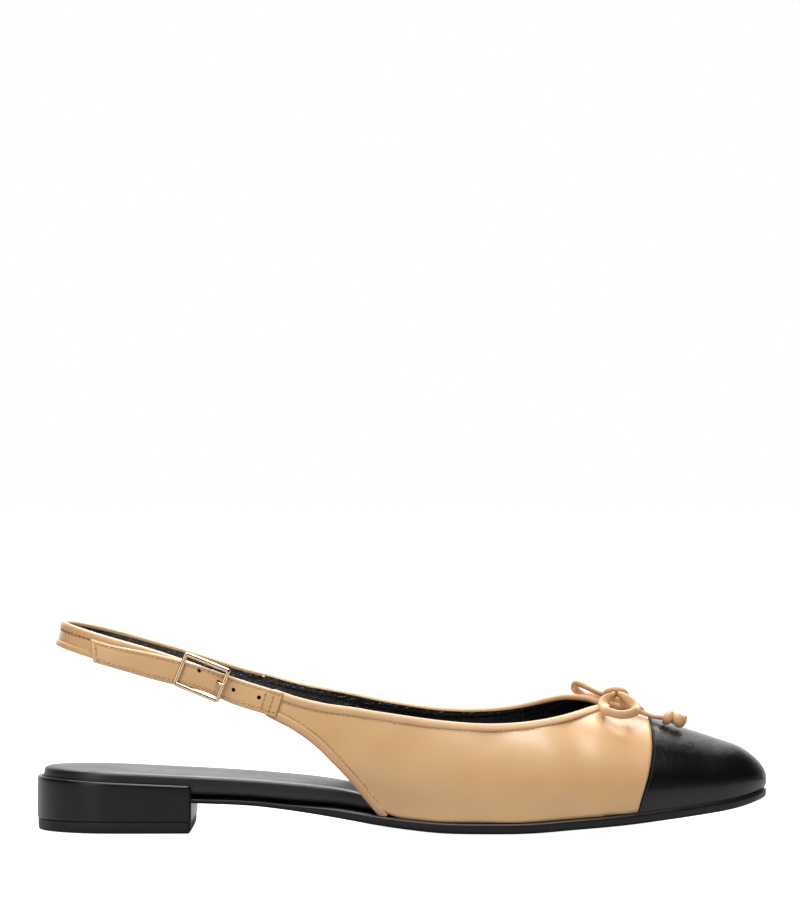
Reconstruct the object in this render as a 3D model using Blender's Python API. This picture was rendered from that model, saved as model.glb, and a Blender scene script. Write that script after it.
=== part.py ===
"""Cap-toe slingback ballet flat, right shoe.

All sizes are millimetres in the shoe's own frame. A station is the distance from the back of the heel
towards the toe, y is negative on the outer (lateral) side, and z is the height above the floor.
"""

import math
from collections import namedtuple

import bmesh
import bpy
import numpy as np
from mathutils import Matrix, Vector

MM = 0.001
GAP = 0.3  # clearance between pieces that touch
LATERAL, MEDIAL = -1, 1
SIDES = (LATERAL, MEDIAL)
UPRIGHT = math.pi / 2  # section angle at the ridge
WELD = 1e-7  # metres within which two points are one

LENGTH = 258.0
SIDE_SHIFT = -0.75  # centres the shoe's width on the frame

# Sole: where the outsole starts inside the heel lip, and how long its two round ends are
SOLE_START = 2.1
HEEL_ROUND = 25.0
TOE_ROUND = 18.0
FOOTBED_EDGE = 1.5
SOLE_STEP = 8.2
HEEL_STEP = 9.0

PlanRow = namedtuple("PlanRow", "station centre half_width")
SOLE_PLAN = [
    PlanRow(2.1, 0.0, 25.0),
    PlanRow(30.0, 0.0, 26.2),
    PlanRow(55.0, 0.2, 25.8),
    PlanRow(85.0, -2.0, 25.0),
    PlanRow(100.0, -2.5, 25.4),
    PlanRow(130.0, -1.5, 31.2),
    PlanRow(152.0, -0.5, 36.0),
    PlanRow(172.0, 0.8, 37.6),
    PlanRow(195.0, 2.2, 35.4),
    PlanRow(220.0, 3.6, 28.6),
    PlanRow(240.0, 4.4, 20.8),
    PlanRow(258.0, 4.6, 14.6),
]

# The outsole is slightly crowned underneath: its height above the flat at each distance from the edge
CrownRow = namedtuple("CrownRow", "inset rise")
SOLE_CROWN = [CrownRow(9.0, 0.0), CrownRow(2.5, 0.5), CrownRow(0.4, 0.9), CrownRow(0.0, 1.4)]

ProfileRow = namedtuple("ProfileRow", "station underside thickness footbed")
SOLE_PROFILE = [
    ProfileRow(2.1, 11.9, 2.0, 22.4),
    ProfileRow(30.0, 11.2, 2.1, 21.5),
    ProfileRow(55.0, 10.0, 2.2, 20.3),
    ProfileRow(75.0, 9.3, 2.4, 19.3),
    ProfileRow(90.0, 7.6, 2.7, 18.1),
    ProfileRow(105.0, 5.3, 4.1, 16.5),
    ProfileRow(120.0, 2.7, 4.3, 13.1),
    ProfileRow(134.0, 0.9, 4.7, 10.2),
    ProfileRow(146.0, 0.0, 4.8, 8.4),
    ProfileRow(168.0, 0.0, 4.8, 7.9),
    ProfileRow(190.0, 1.4, 4.8, 9.2),
    ProfileRow(205.0, 2.4, 4.8, 10.3),
    ProfileRow(220.0, 3.9, 4.8, 11.8),
    ProfileRow(235.0, 5.6, 4.7, 13.3),
    ProfileRow(248.0, 7.6, 4.3, 14.9),
    ProfileRow(258.0, 10.3, 3.7, 17.0),
]

# The footbed fills the heel seat and narrows to lie inside the upper's wall and cap
InsetRow = namedtuple("InsetRow", "station inset")
FOOTBED_INSET = [
    InsetRow(2.1, 0.2),
    InsetRow(97.0, 0.2),
    InsetRow(111.0, 3.1),
    InsetRow(196.0, 3.1),
    InsetRow(208.0, 4.4),
    InsetRow(258.0, 4.4),
]

# Heel
BREAST = 55.7
HEEL_LIP = 1.8
LIP_BACK = 19.2
LIP_BREAST = 16.7
LIFT_HEIGHT = 4.0
BREAST_CORNER = 2.0

# Upper
WALL = 1.6
FEATHER_INSET = 0.8
BULGE = 0.3  # share of the height in which the wall swells from feather to girth
SQUARENESS = 2.2
TOE_FRONT = 17.8  # height of the foremost point of the toe
RIDGE_ROUND = 12.0
THROAT = 203.5
THROAT_ROUND = 8.0
BINDING_RISE = 2.6
UPPER_ROWS = 8
BACK_STEP = 3.9
WAIST_STEP = 7.0
VAMP_STEP = 4.2
TOE_STEP = 6.0
ROW_GRADING = 1.15

UpperRow = namedtuple("UpperRow", "station girth ridge")
UPPER = [
    UpperRow(50.0, 27.2, 102.0),
    UpperRow(70.0, 27.6, 92.0),
    UpperRow(85.0, 28.2, 85.0),
    UpperRow(100.0, 28.8, 78.0),
    UpperRow(120.0, 31.8, 68.0),
    UpperRow(140.0, 35.6, 60.0),
    UpperRow(160.0, 37.8, 54.2),
    UpperRow(175.0, 38.1, 51.2),
    UpperRow(190.0, 36.5, 47.9),
    UpperRow(205.0, 33.5, 43.2),
    UpperRow(220.0, 29.3, 38.6),
    UpperRow(240.0, 21.3, 32.0),
    UpperRow(258.0, 15.0, 26.2),
]

EdgeRow = namedtuple("EdgeRow", "station lateral medial")
COLLAR = [
    EdgeRow(79.0, 53.7, 55.9),
    EdgeRow(86.0, 49.9, 52.4),
    EdgeRow(93.0, 47.6, 50.6),
    EdgeRow(100.0, 46.0, 49.2),
    EdgeRow(114.0, 44.0, 46.4),
    EdgeRow(128.0, 41.9, 43.7),
    EdgeRow(142.0, 40.1, 41.9),
    EdgeRow(156.0, 39.1, 41.7),
    EdgeRow(170.0, 39.5, 43.3),
    EdgeRow(184.0, 41.6, 47.0),
    EdgeRow(192.0, 43.7, 48.6),
    EdgeRow(198.0, 45.4, 47.8),
]
BACK_EDGE = [
    EdgeRow(79.0, 44.2, 46.2),
    EdgeRow(86.5, 41.5, 43.0),
    EdgeRow(93.4, 37.7, 38.6),
    EdgeRow(100.4, 32.6, 33.0),
    EdgeRow(107.4, 25.4, 25.4),
    EdgeRow(114.3, 17.7, 17.7),
    EdgeRow(119.5, 11.2, 11.2),
    EdgeRow(125.5, 5.2, 5.2),
]

# Toe cap: let into a step of the wall along a seam that leans back towards the sole
CAP_SEAM = 216.0
CAP_THICK = 1.0
CAP_REACH = 12.0  # distance over which the grid bends to follow the seam
STEP_RUN = 0.1
SeamRow = namedtuple("SeamRow", "share shift")  # share of the way from feather to ridge
SEAM = [SeamRow(0.0, -5.0), SeamRow(0.25, -0.8), SeamRow(0.5, 0.6), SeamRow(1.0, -0.3)]

# Bindings
TOPLINE_BEAD = 2.4
TOPLINE_START = 88.3
EDGE_BEAD = 2.0
EDGE_START = 86.0
EDGE_END = 121.2

# Straps
STRAP_WIDTH = 9.0
STRAP_THICK = 1.6
STRAP_ROUND = 24.0
STRAP_STEP = 5.5
TIP_STEP = 5.0
STRAP_BACK = 8.7
STRAP_FRONT = 86.3
SLING_END = 57.6
TIP_END = 22.2
TIP_DROP = 1.1  # how far the tip hangs below the heel strap, fading out before the buckle
TIP_DROP_FROM, TIP_DROP_RUN = 40.0, 20.0
TIP_NARROW = 1.5  # how far the tip's upper edge is drawn in
TIP_NARROW_FROM, TIP_NARROW_RUN = 24.0, 22.0
TIP_SQUARE = 3.1  # how far the leaning end is turned upright, over the tip's last run
TIP_SQUARE_RUN = 8.0
LEAN_BACK = math.radians(15.0)
LEAN_FRONT = math.radians(19.0)
QUARTER_FROM, QUARTER_RUN = 62.0, 18.0  # where the straps turn onto the quarters
LIFT_FROM, LIFT_RUN = 62.0, 13.0  # where the buckle strap rises over the centre bar

StrapRow = namedtuple("StrapRow", "station lateral_top medial_top lateral medial")
STRAP = [
    StrapRow(8.7, 73.7, 73.7, -22.0, 22.0),
    StrapRow(23.0, 69.6, 70.3, -22.4, 22.4),
    StrapRow(44.0, 63.7, 64.5, -24.2, 23.2),
    StrapRow(58.0, 59.0, 60.3, -25.4, 23.8),
    StrapRow(72.5, 53.9, 55.7, -26.8, 24.2),
    StrapRow(90.0, 48.7, 51.5, -28.6, 24.6),
]
NIP = 0.9  # how far the buckle strap's lower edge draws in beside the buckle's post
NIP_AT, NIP_RUN = 61.0, 12.0
HOLE = 1.9
HoleRow = namedtuple("HoleRow", "name station across length")  # across is measured up from the centre line
HOLES = [
    HoleRow("first_hole", 58.0, 2.4, HOLE),
    HoleRow("prong_hole", 65.0, 0.9, 4.0),
    HoleRow("second_hole", 70.5, 0.3, HOLE),
    HoleRow("third_hole", 79.4, 0.4, HOLE),
]
PRONG_HOLE = HOLES[1]

# Buckle
BUCKLE_STATION = 59.3
BUCKLE_RAISE = 0.9  # the frame sits above the strap's centre line
BUCKLE_LENGTH = 17.0
BUCKLE_HEIGHT = 12.0
BUCKLE_BAR = 1.5
BUCKLE_DEPTH = 1.4
CENTRE_BAR = 1.0
BUCKLE_BEVEL = 0.25
PRONG = 1.1
PRONG_BEND = 0.9  # run of the prong's bends at its bar and at its tip
PRONG_CLIMB = 0.35  # run of each step of its way up through the strap
PRONG_EASE = 0.15  # how far it dips before its hole and at its tip

# Bow
CORD = 2.3
KNOT_CENTRE = (204.3, -0.4, 47.7)
KNOT_HALF = (2.8, 2.9, 2.2)
END_KNOT_LATERAL = (4.1, 2.2, 2.4)
END_KNOT_MEDIAL = (2.3, 3.0, 2.5)
RoutePoint = namedtuple("RoutePoint", "station y z")
LOOP_LATERAL = [
    RoutePoint(202.2, -6.6, 48.3),
    RoutePoint(200.2, -10.4, 47.4),
    RoutePoint(199.2, -14.4, 45.8),
    RoutePoint(199.9, -18.2, 43.6),
    RoutePoint(202.3, -20.4, 41.9),
    RoutePoint(205.4, -20.8, 41.2),
    RoutePoint(208.6, -19.4, 41.3),
    RoutePoint(211.2, -16.4, 42.6),
    RoutePoint(211.0, -12.8, 44.4),
    RoutePoint(209.0, -9.2, 46.2),
    RoutePoint(206.8, -6.2, 47.4),
]
LOOP_MEDIAL = [
    RoutePoint(197.6, 6.4, 49.2),
    RoutePoint(193.4, 10.8, 50.1),
    RoutePoint(190.8, 14.8, 50.0),
    RoutePoint(190.0, 18.8, 48.6),
    RoutePoint(191.0, 21.8, 46.9),
    RoutePoint(194.8, 22.8, 45.3),
    RoutePoint(199.0, 20.4, 45.0),
    RoutePoint(202.6, 15.4, 45.9),
    RoutePoint(204.6, 9.4, 47.2),
]
TAIL_LATERAL = [
    RoutePoint(207.3, -2.0, 44.6),
    RoutePoint(210.2, -4.0, 42.9),
    RoutePoint(213.4, -5.0, 41.6),
    RoutePoint(216.8, -5.4, 40.4),
    RoutePoint(220.2, -5.4, 39.9),
]
TAIL_MEDIAL = [
    RoutePoint(208.2, 3.0, 44.4),
    RoutePoint(212.4, 9.8, 42.4),
    RoutePoint(214.6, 15.6, 40.6),
    RoutePoint(214.4, 21.0, 38.6),
]

Finish = namedtuple("Finish", "colour roughness metallic")
TAN = Finish((0.56, 0.34, 0.14), 0.45, 0.0)
TAN_CORD = Finish((0.52, 0.31, 0.13), 0.5, 0.0)
BLACK = Finish((0.012, 0.012, 0.013), 0.35, 0.0)
BLACK_SOLE = Finish((0.016, 0.015, 0.015), 0.5, 0.0)
BLACK_RUBBER = Finish((0.014, 0.014, 0.014), 0.65, 0.0)
GILT = Finish((0.83, 0.68, 0.47), 0.2, 1.0)


def start_scene():
    for thing in list(bpy.data.objects):
        bpy.data.objects.remove(thing, do_unlink=True)
    made = []
    for name in ("slingback_flat", "cutters"):
        collection = bpy.data.collections.new(name)
        bpy.context.scene.collection.children.link(collection)
        made.append(collection)
    return made


PARTS, CUTTERS = start_scene()


def through(stations, values):
    """A smooth curve through the values of a table that never overshoots them."""
    xs = np.array(stations, float)
    ys = np.array(values, float)
    steps = np.diff(xs)
    slopes = np.diff(ys) / steps
    tangents = np.zeros_like(ys)
    tangents[0], tangents[-1] = slopes[0], slopes[-1]
    for i in range(1, len(xs) - 1):
        if slopes[i - 1] * slopes[i] > 0:
            before = 2 * steps[i] + steps[i - 1]
            after = steps[i] + 2 * steps[i - 1]
            tangents[i] = (before + after) / (before / slopes[i - 1] + after / slopes[i])

    def curve(station):
        at = min(max(station, xs[0]), xs[-1])
        i = min(int(np.searchsorted(xs, at, side="right")) - 1, len(steps) - 1)
        t = (at - xs[i]) / steps[i]
        value = (1 + 2 * t) * (1 - t) ** 2 * ys[i] + t * (1 - t) ** 2 * steps[i] * tangents[i]
        value += t * t * (3 - 2 * t) * ys[i + 1] + t * t * (t - 1) * steps[i] * tangents[i + 1]
        return float(value)

    return curve


def column(rows, name):
    return through([row[0] for row in rows], [getattr(row, name) for row in rows])


def smooth(share):
    share = min(max(share, 0.0), 1.0)
    return share * share * (3 - 2 * share)


def round_end(share):
    share = min(max(share, 0.0), 1.0)
    return math.sqrt(1 - (1 - share) ** 2)


def spaced(start, end, step):
    """Stations from start up to, and without, end."""
    count = max(1, round(abs(end - start) / step))
    return [start + (end - start) * i / count for i in range(count)]


def rounding_in(start, end, count):
    """Stations that crowd towards end as points on a quarter circle do."""
    return [start + (end - start) * math.sin(UPRIGHT * i / count) for i in range(count + 1)]


centre_at = column(SOLE_PLAN, "centre")
half_at = column(SOLE_PLAN, "half_width")
underside_at = column(SOLE_PROFILE, "underside")
thickness_at = column(SOLE_PROFILE, "thickness")
footbed_at = column(SOLE_PROFILE, "footbed")
footbed_inset_at = column(FOOTBED_INSET, "inset")
girth_at = column(UPPER, "girth")
ridge_line_at = column(UPPER, "ridge")
seam_shift_at = column(SEAM, "shift")


def feather_at(station):
    """Height of the outsole's top, where the upper stands."""
    return underside_at(station) + thickness_at(station)


def material(name, finish):
    made = bpy.data.materials.new(name)
    made.use_nodes = True
    shader = made.node_tree.nodes["Principled BSDF"]
    shader.inputs["Base Color"].default_value = (*finish.colour, 1.0)
    shader.inputs["Roughness"].default_value = finish.roughness
    shader.inputs["Metallic"].default_value = finish.metallic
    made.diffuse_color = (*finish.colour, 1.0)
    return made


def to_world(point):
    station, y, z = point
    return Vector(((station - LENGTH / 2) * MM, (y + SIDE_SHIFT) * MM, z * MM))


def add_object(name, data, finish):
    made = bpy.data.objects.new(name, data)
    PARTS.objects.link(made)
    data.materials.append(material(name + "_finish", finish))
    return made


def add_mesh(name, points, faces, finish):
    """A closed mesh from points of the shoe's frame, with its faces turned outwards."""
    mesh = bpy.data.meshes.new(name)
    work = bmesh.new()
    corners = [work.verts.new(to_world(point)) for point in points]
    for face in faces:
        work.faces.new([corners[i] for i in face])
    bmesh.ops.recalc_face_normals(work, faces=work.faces)
    work.to_mesh(mesh)
    work.free()
    mesh.shade_smooth()
    mesh.set_sharp_from_angle(angle=math.radians(40))
    return add_object(name, mesh, finish)


def as_cutter(made):
    PARTS.objects.unlink(made)
    CUTTERS.objects.link(made)
    made.hide_render = True
    made.display_type = "WIRE"
    return made


def boolean(target, operand, operation):
    as_cutter(operand)
    step = target.modifiers.new(operation.lower() + "_" + operand.name, "BOOLEAN")
    step.operation = operation
    step.solver = "EXACT"
    step.object = operand


def sole_edge(station, side):
    rounding = round_end((station - SOLE_START) / HEEL_ROUND)
    rounding *= round_end((LENGTH - station) / TOE_ROUND)
    return np.array((station, centre_at(station) + side * half_at(station) * rounding))


def sole_stations(last=LENGTH):
    heel = [SOLE_START + HEEL_ROUND * (1 - math.cos(UPRIGHT * i / 7)) for i in range(7)]
    if last < LENGTH:
        return heel + spaced(SOLE_START + HEEL_ROUND, last, HEEL_STEP) + [last]
    toe = rounding_in(LENGTH - TOE_ROUND, LENGTH, 8)
    return heel + spaced(SOLE_START + HEEL_ROUND, LENGTH - TOE_ROUND, SOLE_STEP) + toe


def side_outline(stations, side, inset):
    """Plan points along one side of the sole, moved inwards by the inset at each station."""
    points = [sole_edge(station, side) for station in stations]
    mirrored = [sole_edge(station, -side) for station in stations]
    pointed = np.allclose(points[-1], mirrored[-1])
    tail = mirrored[-2] if pointed else 2 * points[-1] - points[-2]
    chain = [mirrored[1]] + points + [tail]
    moved = []
    for i, point in enumerate(points):
        run = chain[i + 2] - chain[i]
        inward = np.array((run[1], -run[0])) * side / np.linalg.norm(run)
        moved.append(point + inward * inset(point[0]))
    return moved


def ring(stations, inset, height):
    """One level of a sole piece: outer side forwards, then inner side backwards."""
    lateral = side_outline(stations, LATERAL, inset)
    medial = side_outline(stations, MEDIAL, inset)
    last = len(stations) - (1 if np.allclose(lateral[-1], medial[-1], atol=1e-6) else 0)
    plan = lateral + medial[1:last][::-1]
    return [(x, y, height(x)) for x, y in plan]


def stacked(name, rings, stations, finish):
    """A solid through level rings, closed above and below by a ladder from side to side."""
    size = len(rings[0])
    count = len(stations)
    points = [point for level in rings for point in level]
    faces = []
    for low in range(0, size * (len(rings) - 1), size):
        for i in range(size):
            j = (i + 1) % size
            faces.append((low + i, low + j, low + size + j, low + size + i))
    top = size * (len(rings) - 1)
    for i in range(count - 1):
        rung = (i, i + 1, (size - i - 1) % size, (size - i) % size)
        rung = tuple(dict.fromkeys(rung))
        faces.append(tuple(top + k for k in rung))
        faces.append(rung[::-1])
    return add_mesh(name, points, faces, finish)


def constant(value):
    return lambda station: value


def raised(height, amount):
    return lambda station: height(station) + amount


def build_outsole():
    stations = sole_stations()
    rings = [ring(stations, constant(row.inset), raised(underside_at, row.rise)) for row in SOLE_CROWN]
    rings.append(ring(stations, constant(0.0), feather_at))
    stacked("outsole", rings, stations, BLACK_SOLE)


def build_insole():
    stations = sole_stations()
    round_share = 0.3  # how far in the rounded edge's middle level lies
    rings = [
        ring(stations, footbed_inset_at, raised(feather_at, GAP)),
        ring(stations, footbed_inset_at, raised(footbed_at, -FOOTBED_EDGE)),
        ring(
            stations,
            raised(footbed_inset_at, FOOTBED_EDGE * round_share),
            raised(footbed_at, -FOOTBED_EDGE * round_share),
        ),
        ring(stations, raised(footbed_inset_at, FOOTBED_EDGE), footbed_at),
    ]
    stacked("insole", rings, stations, BLACK)


def heel_ring(stations, inset, height):
    """A level of the heel: the sole's outline grown by the lip, with its breast corners rounded."""
    grown = HEEL_LIP + GAP - inset
    points = []
    for station, y, z in ring(stations, constant(-grown), height):
        into = min(max(0.0, BREAST_CORNER - (BREAST - station)), BREAST_CORNER)
        pull = BREAST_CORNER - math.sqrt(BREAST_CORNER**2 - into**2)
        points.append((min(station, BREAST) - inset * into / BREAST_CORNER, y - math.copysign(pull, y), z))
    return points


def heel_stations():
    corner = rounding_in(BREAST - BREAST_CORNER, BREAST, 4)
    return sole_stations(BREAST - BREAST_CORNER)[:-1] + corner


def lip_at(station):
    return LIP_BACK + (LIP_BREAST - LIP_BACK) * station / BREAST


def build_heel():
    stations = heel_stations()
    chamfer = 0.5
    lip_edge = 0.6
    base = LIFT_HEIGHT + GAP
    rings = [
        heel_ring(stations, chamfer, constant(base)),
        heel_ring(stations, 0.0, constant(base + chamfer)),
        heel_ring(stations, 0.0, raised(lip_at, -lip_edge)),
        heel_ring(stations, lip_edge, lip_at),
    ]
    block = stacked("heel_block", rings, stations, BLACK)
    seat_reach = 20.0
    seat_top = 30.0
    seat_stations = sole_stations(BREAST + seat_reach)
    seat = [
        ring(seat_stations, constant(-GAP), raised(underside_at, -GAP)),
        ring(seat_stations, constant(-GAP), constant(seat_top)),
    ]
    boolean(block, stacked("heel_seat", seat, seat_stations, BLACK), "DIFFERENCE")


LiftRow = namedtuple("LiftRow", "height inset")
LIFT_LEVELS = [LiftRow(0.0, 1.3), LiftRow(0.4, 0.7), LiftRow(1.3, 0.3), LiftRow(LIFT_HEIGHT, 0.3)]


def build_top_lift():
    stations = heel_stations()
    rings = [heel_ring(stations, row.inset, constant(row.height)) for row in LIFT_LEVELS]
    stacked("top_lift", rings, stations, BLACK_RUBBER)


def ridge_at(station):
    return TOE_FRONT + (ridge_line_at(station) - TOE_FRONT) * round_end((LENGTH - station) / RIDGE_ROUND)


def wall_point(station, angle, side):
    """A point of the last: angle 0 at the feather edge, upright at the ridge."""
    rise = max(math.sin(angle), 0.0) ** (2 / SQUARENESS)
    spread = max(math.cos(angle), 0.0) ** (2 / SQUARENESS)
    swell = smooth(rise / BULGE)
    toe = round_end((LENGTH - station) / TOE_ROUND)
    feather = (half_at(station) - FEATHER_INSET) * toe
    half = feather + (girth_at(station) * toe - feather) * swell
    tuck = FEATHER_INSET * (1 - swell) * smooth((station - CAP_SEAM) / (LENGTH - CAP_SEAM))
    low = feather_at(station) + GAP
    z = low + (ridge_at(station) - low) * rise
    return np.array((station - tuck, centre_at(station) + side * half * spread, z))


def angle_at(station, height):
    low = feather_at(station) + GAP
    rise = (height - low) / (ridge_at(station) - low)
    return math.asin(min(max(rise, 0.0), 1.0) ** (SQUARENESS / 2))


def wall_at(station, angle, side):
    """The last's surface on a grid whose seam line bends as the toe cap's edge does."""
    pull = max(0.0, 1 - abs(station - CAP_SEAM) / CAP_REACH)
    return wall_point(station + pull * seam_shift_at(angle / UPRIGHT), angle, side)


def normal_at(station, angle, side):
    step = 0.01
    along = wall_at(station + step, angle, side) - wall_at(station - step, angle, side)
    upper = min(angle + step, UPRIGHT)
    up = wall_at(station, upper, side) - wall_at(station, upper - 2 * step, side)
    out = np.cross(along, up) * -side
    return out / np.linalg.norm(out)


def collar_curve(name):
    """The collar as the squared angle left to the ridge, which falls evenly to nothing at the throat."""
    left = [(UPRIGHT - angle_at(row.station, getattr(row, name) - BINDING_RISE)) ** 2 for row in COLLAR]
    return through([row.station for row in COLLAR] + [THROAT], left + [0.0])


COLLAR_AT = {LATERAL: collar_curve("lateral"), MEDIAL: collar_curve("medial")}
BACK_EDGE_AT = {LATERAL: column(BACK_EDGE, "lateral"), MEDIAL: column(BACK_EDGE, "medial")}


def top_angle(station, side):
    return UPRIGHT - math.sqrt(max(COLLAR_AT[side](station), 0.0))


def low_angle(station, side):
    return angle_at(station, BACK_EDGE_AT[side](station))


def quarter_stations():
    """Columns of the upper from the back of the quarters to the throat."""
    back = spaced(BACK_EDGE[0].station, BACK_EDGE[-1].station, BACK_STEP)
    waist = spaced(BACK_EDGE[-1].station, THROAT - THROAT_ROUND, WAIST_STEP)
    return back + waist + rounding_in(THROAT - THROAT_ROUND, THROAT, 5)


def toe_stations(start):
    toe = rounding_in(LENGTH - TOE_ROUND, LENGTH, 8)
    return spaced(start, toe[0], TOE_STEP) + toe


def weld(points, faces):
    """One point for each place, and faces without doubled corners; also each point's first index."""
    places = {}
    moved = []
    first = []
    for i, point in enumerate(points):
        key = tuple(np.round(point, 4))
        if key not in places:
            places[key] = len(places)
            first.append(i)
        moved.append(places[key])
    kept = []
    for face in faces:
        corners = tuple(dict.fromkeys(moved[i] for i in face))
        if len(corners) > 2:
            kept.append(corners)
    return [points[i] for i in first], kept, first


def point_normals(points, faces):
    normals = np.zeros((len(points), 3))
    for face in faces:
        corners = np.array([points[i] for i in face])
        normals[list(face)] += np.cross(corners, np.roll(corners, -1, axis=0)).sum(axis=0)
    return normals / np.linalg.norm(normals, axis=1)[:, None]


def thicken(name, points, faces, outer, inner, finish):
    """A closed wall round a sheet, from each point's outer to its inner distance along its normal."""
    normals = point_normals(points, faces)
    count = len(points)
    skin = [p + n * d for p, n, d in zip(points, normals, outer)]
    lining = [p + n * d for p, n, d in zip(points, normals, inner)]
    edges = {}
    for face in faces:
        for a, b in zip(face, face[1:] + face[:1]):
            edges[(a, b)] = True
    rim = [(b, a, a + count, b + count) for a, b in edges if (b, a) not in edges]
    back = [tuple(i + count for i in face[::-1]) for face in faces]
    return add_mesh(name, skin + lining, faces + back + rim, finish)


def last_sheet(stations):
    """Both sides of the upper as one sheet, with the column of each point."""
    points = []
    faces = []
    columns = []
    rows = UPPER_ROWS + 1
    for side in SIDES:
        start = len(points)
        for i, station in enumerate(stations):
            low, top = low_angle(station, side), top_angle(station, side)
            for j in range(rows):
                share = (j / UPPER_ROWS) ** ROW_GRADING
                points.append(wall_at(station, low + (top - low) * share, side))
                columns.append(i)
        for i in range(len(stations) - 1):
            for j in range(UPPER_ROWS):
                a = start + i * rows + j
                quad = (a, a + rows, a + rows + 1, a + 1)
                faces.append(quad if side == LATERAL else quad[::-1])
    points, faces, first = weld(points, faces)
    return points, faces, [columns[i] for i in first]


def build_upper():
    seam = CAP_SEAM - GAP / 2
    behind = quarter_stations() + spaced(THROAT, seam, VAMP_STEP)[1:] + [seam]
    stations = behind + toe_stations(seam + STEP_RUN)
    points, faces, columns = last_sheet(stations)
    step = len(behind)
    sunk = CAP_THICK + GAP
    outer = [-sunk if i >= step else 0.0 for i in columns]
    inner = [-WALL - (sunk if i >= step - 1 else 0.0) for i in columns]
    thicken("upper", points, faces, outer, inner, TAN)


def build_toe_cap():
    points, faces, columns = last_sheet(toe_stations(CAP_SEAM + GAP / 2))
    thicken("toe_cap", points, faces, [0.0] * len(columns), [-CAP_THICK] * len(columns), BLACK)


def tube(name, points, diameter, finish):
    """A round cord through points of the shoe's frame."""
    curve = bpy.data.curves.new(name, "CURVE")
    curve.dimensions = "3D"
    curve.bevel_depth = diameter / 2 * MM
    curve.bevel_resolution = 2
    curve.use_fill_caps = True
    spline = curve.splines.new("POLY")
    spline.points.add(len(points) - 1)
    for knot, point in zip(spline.points, points):
        knot.co = (*to_world(point), 1.0)
    return add_object(name, curve, finish)


def bead_along(edge, diameter, away):
    """Centre line of a bead that lies a gap off the wall's edge; away is its side of the edge."""
    points = [wall_at(*place) for place in edge]
    centres = []
    for i, place in enumerate(edge):
        run = points[min(i + 1, len(edge) - 1)] - points[max(i - 1, 0)]
        normal = normal_at(*place)
        off = np.cross(normal, run / np.linalg.norm(run)) * away
        centres.append(points[i] - normal * WALL / 2 + off * (GAP + diameter / 2))
    return centres


def build_bindings():
    stations = [TOPLINE_START] + [s for s in quarter_stations() if s > TOPLINE_START + 1]
    forwards = [(s, top_angle(s, LATERAL), LATERAL) for s in stations]
    backwards = [(s, top_angle(s, MEDIAL), MEDIAL) for s in stations[-2::-1]]
    tube("topline_binding", bead_along(forwards + backwards, TOPLINE_BEAD, 1), TOPLINE_BEAD, TAN)
    for side, name in ((LATERAL, "lateral"), (MEDIAL, "medial")):
        inside = [s for s in quarter_stations() if EDGE_START + 1 < s < EDGE_END - 1]
        edge = [(s, low_angle(s, side), side) for s in [EDGE_START] + inside + [EDGE_END]]
        tube("edge_binding_" + name, bead_along(edge, EDGE_BEAD, side), EDGE_BEAD, TAN)


STRAP_TOP_AT = {LATERAL: column(STRAP, "lateral_top"), MEDIAL: column(STRAP, "medial_top")}
STRAP_SIDE_AT = {LATERAL: column(STRAP, "lateral"), MEDIAL: column(STRAP, "medial")}


def strap_point(station, across, side):
    """A point of the straps' middle surface, across being the distance above their centre line."""
    lean = LEAN_BACK + (LEAN_FRONT - LEAN_BACK) * smooth((station - STRAP_BACK) / STRAP_ROUND)
    top = STRAP_TOP_AT[side](station + STRAP_WIDTH / 2 * math.sin(lean))
    x = station + across * math.sin(lean)
    z = top + (across - STRAP_WIDTH / 2) * math.cos(lean)
    y = STRAP_SIDE_AT[side](station) * round_end((station - STRAP_BACK) / STRAP_ROUND)
    onto = smooth((station - QUARTER_FROM) / QUARTER_RUN)
    if onto > 0:
        quarter = wall_point(x, angle_at(x, z), side)[1] + side * (GAP + STRAP_THICK / 2)
        y += (quarter - y) * onto
    return np.array((x, y, z))


def plain_strap(station, level):
    return 0.0, 0.0


def strap_sheet(path, shape=plain_strap):
    """The straps' middle surface along a path of (station, side).

    The shape gives how far each point is moved along and across.
    """
    levels = (-0.5, 0.0, 0.5)
    points = []
    faces = []
    for station, side in path:
        for level in levels:
            along, across = shape(station, level)
            points.append(strap_point(station + along, STRAP_WIDTH * level + across, side))
    rows = len(levels)
    for i in range(len(path) - 1):
        for j in range(rows - 1):
            a = i * rows + j
            faces.append((a, a + rows, a + rows + 1, a + 1))
    return points, faces


def strap_side(start, side):
    """Stations of a strap from its front end to where its round back begins."""
    return [(s, side) for s in spaced(start, STRAP_BACK + STRAP_ROUND, STRAP_STEP)]


def build_sling_strap():
    turn = [STRAP_BACK + STRAP_ROUND * (1 - math.sin(UPRIGHT * i / 8)) for i in range(9)]
    path = strap_side(STRAP_FRONT, MEDIAL) + [(s, MEDIAL) for s in turn]
    path += (strap_side(SLING_END, LATERAL) + [(s, LATERAL) for s in turn[:-1]])[::-1]
    points, faces = strap_sheet(path)
    half = [STRAP_THICK / 2] * len(points)
    thicken("sling_strap", points, faces, half, [-d for d in half], TAN)


def over_bar(station):
    """How far the buckle strap stands off the heel strap's layer."""
    return (STRAP_THICK + GAP) * (1 - smooth((station - LIFT_FROM) / LIFT_RUN))


def tip_drop(station):
    return TIP_DROP * (1 - smooth((station - TIP_DROP_FROM) / TIP_DROP_RUN))


def lower_nip(station):
    return NIP * (1 - smooth(abs(station - NIP_AT) / NIP_RUN))


def tip_narrow(station):
    return TIP_NARROW * (1 - smooth((station - TIP_NARROW_FROM) / TIP_NARROW_RUN))


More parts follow.
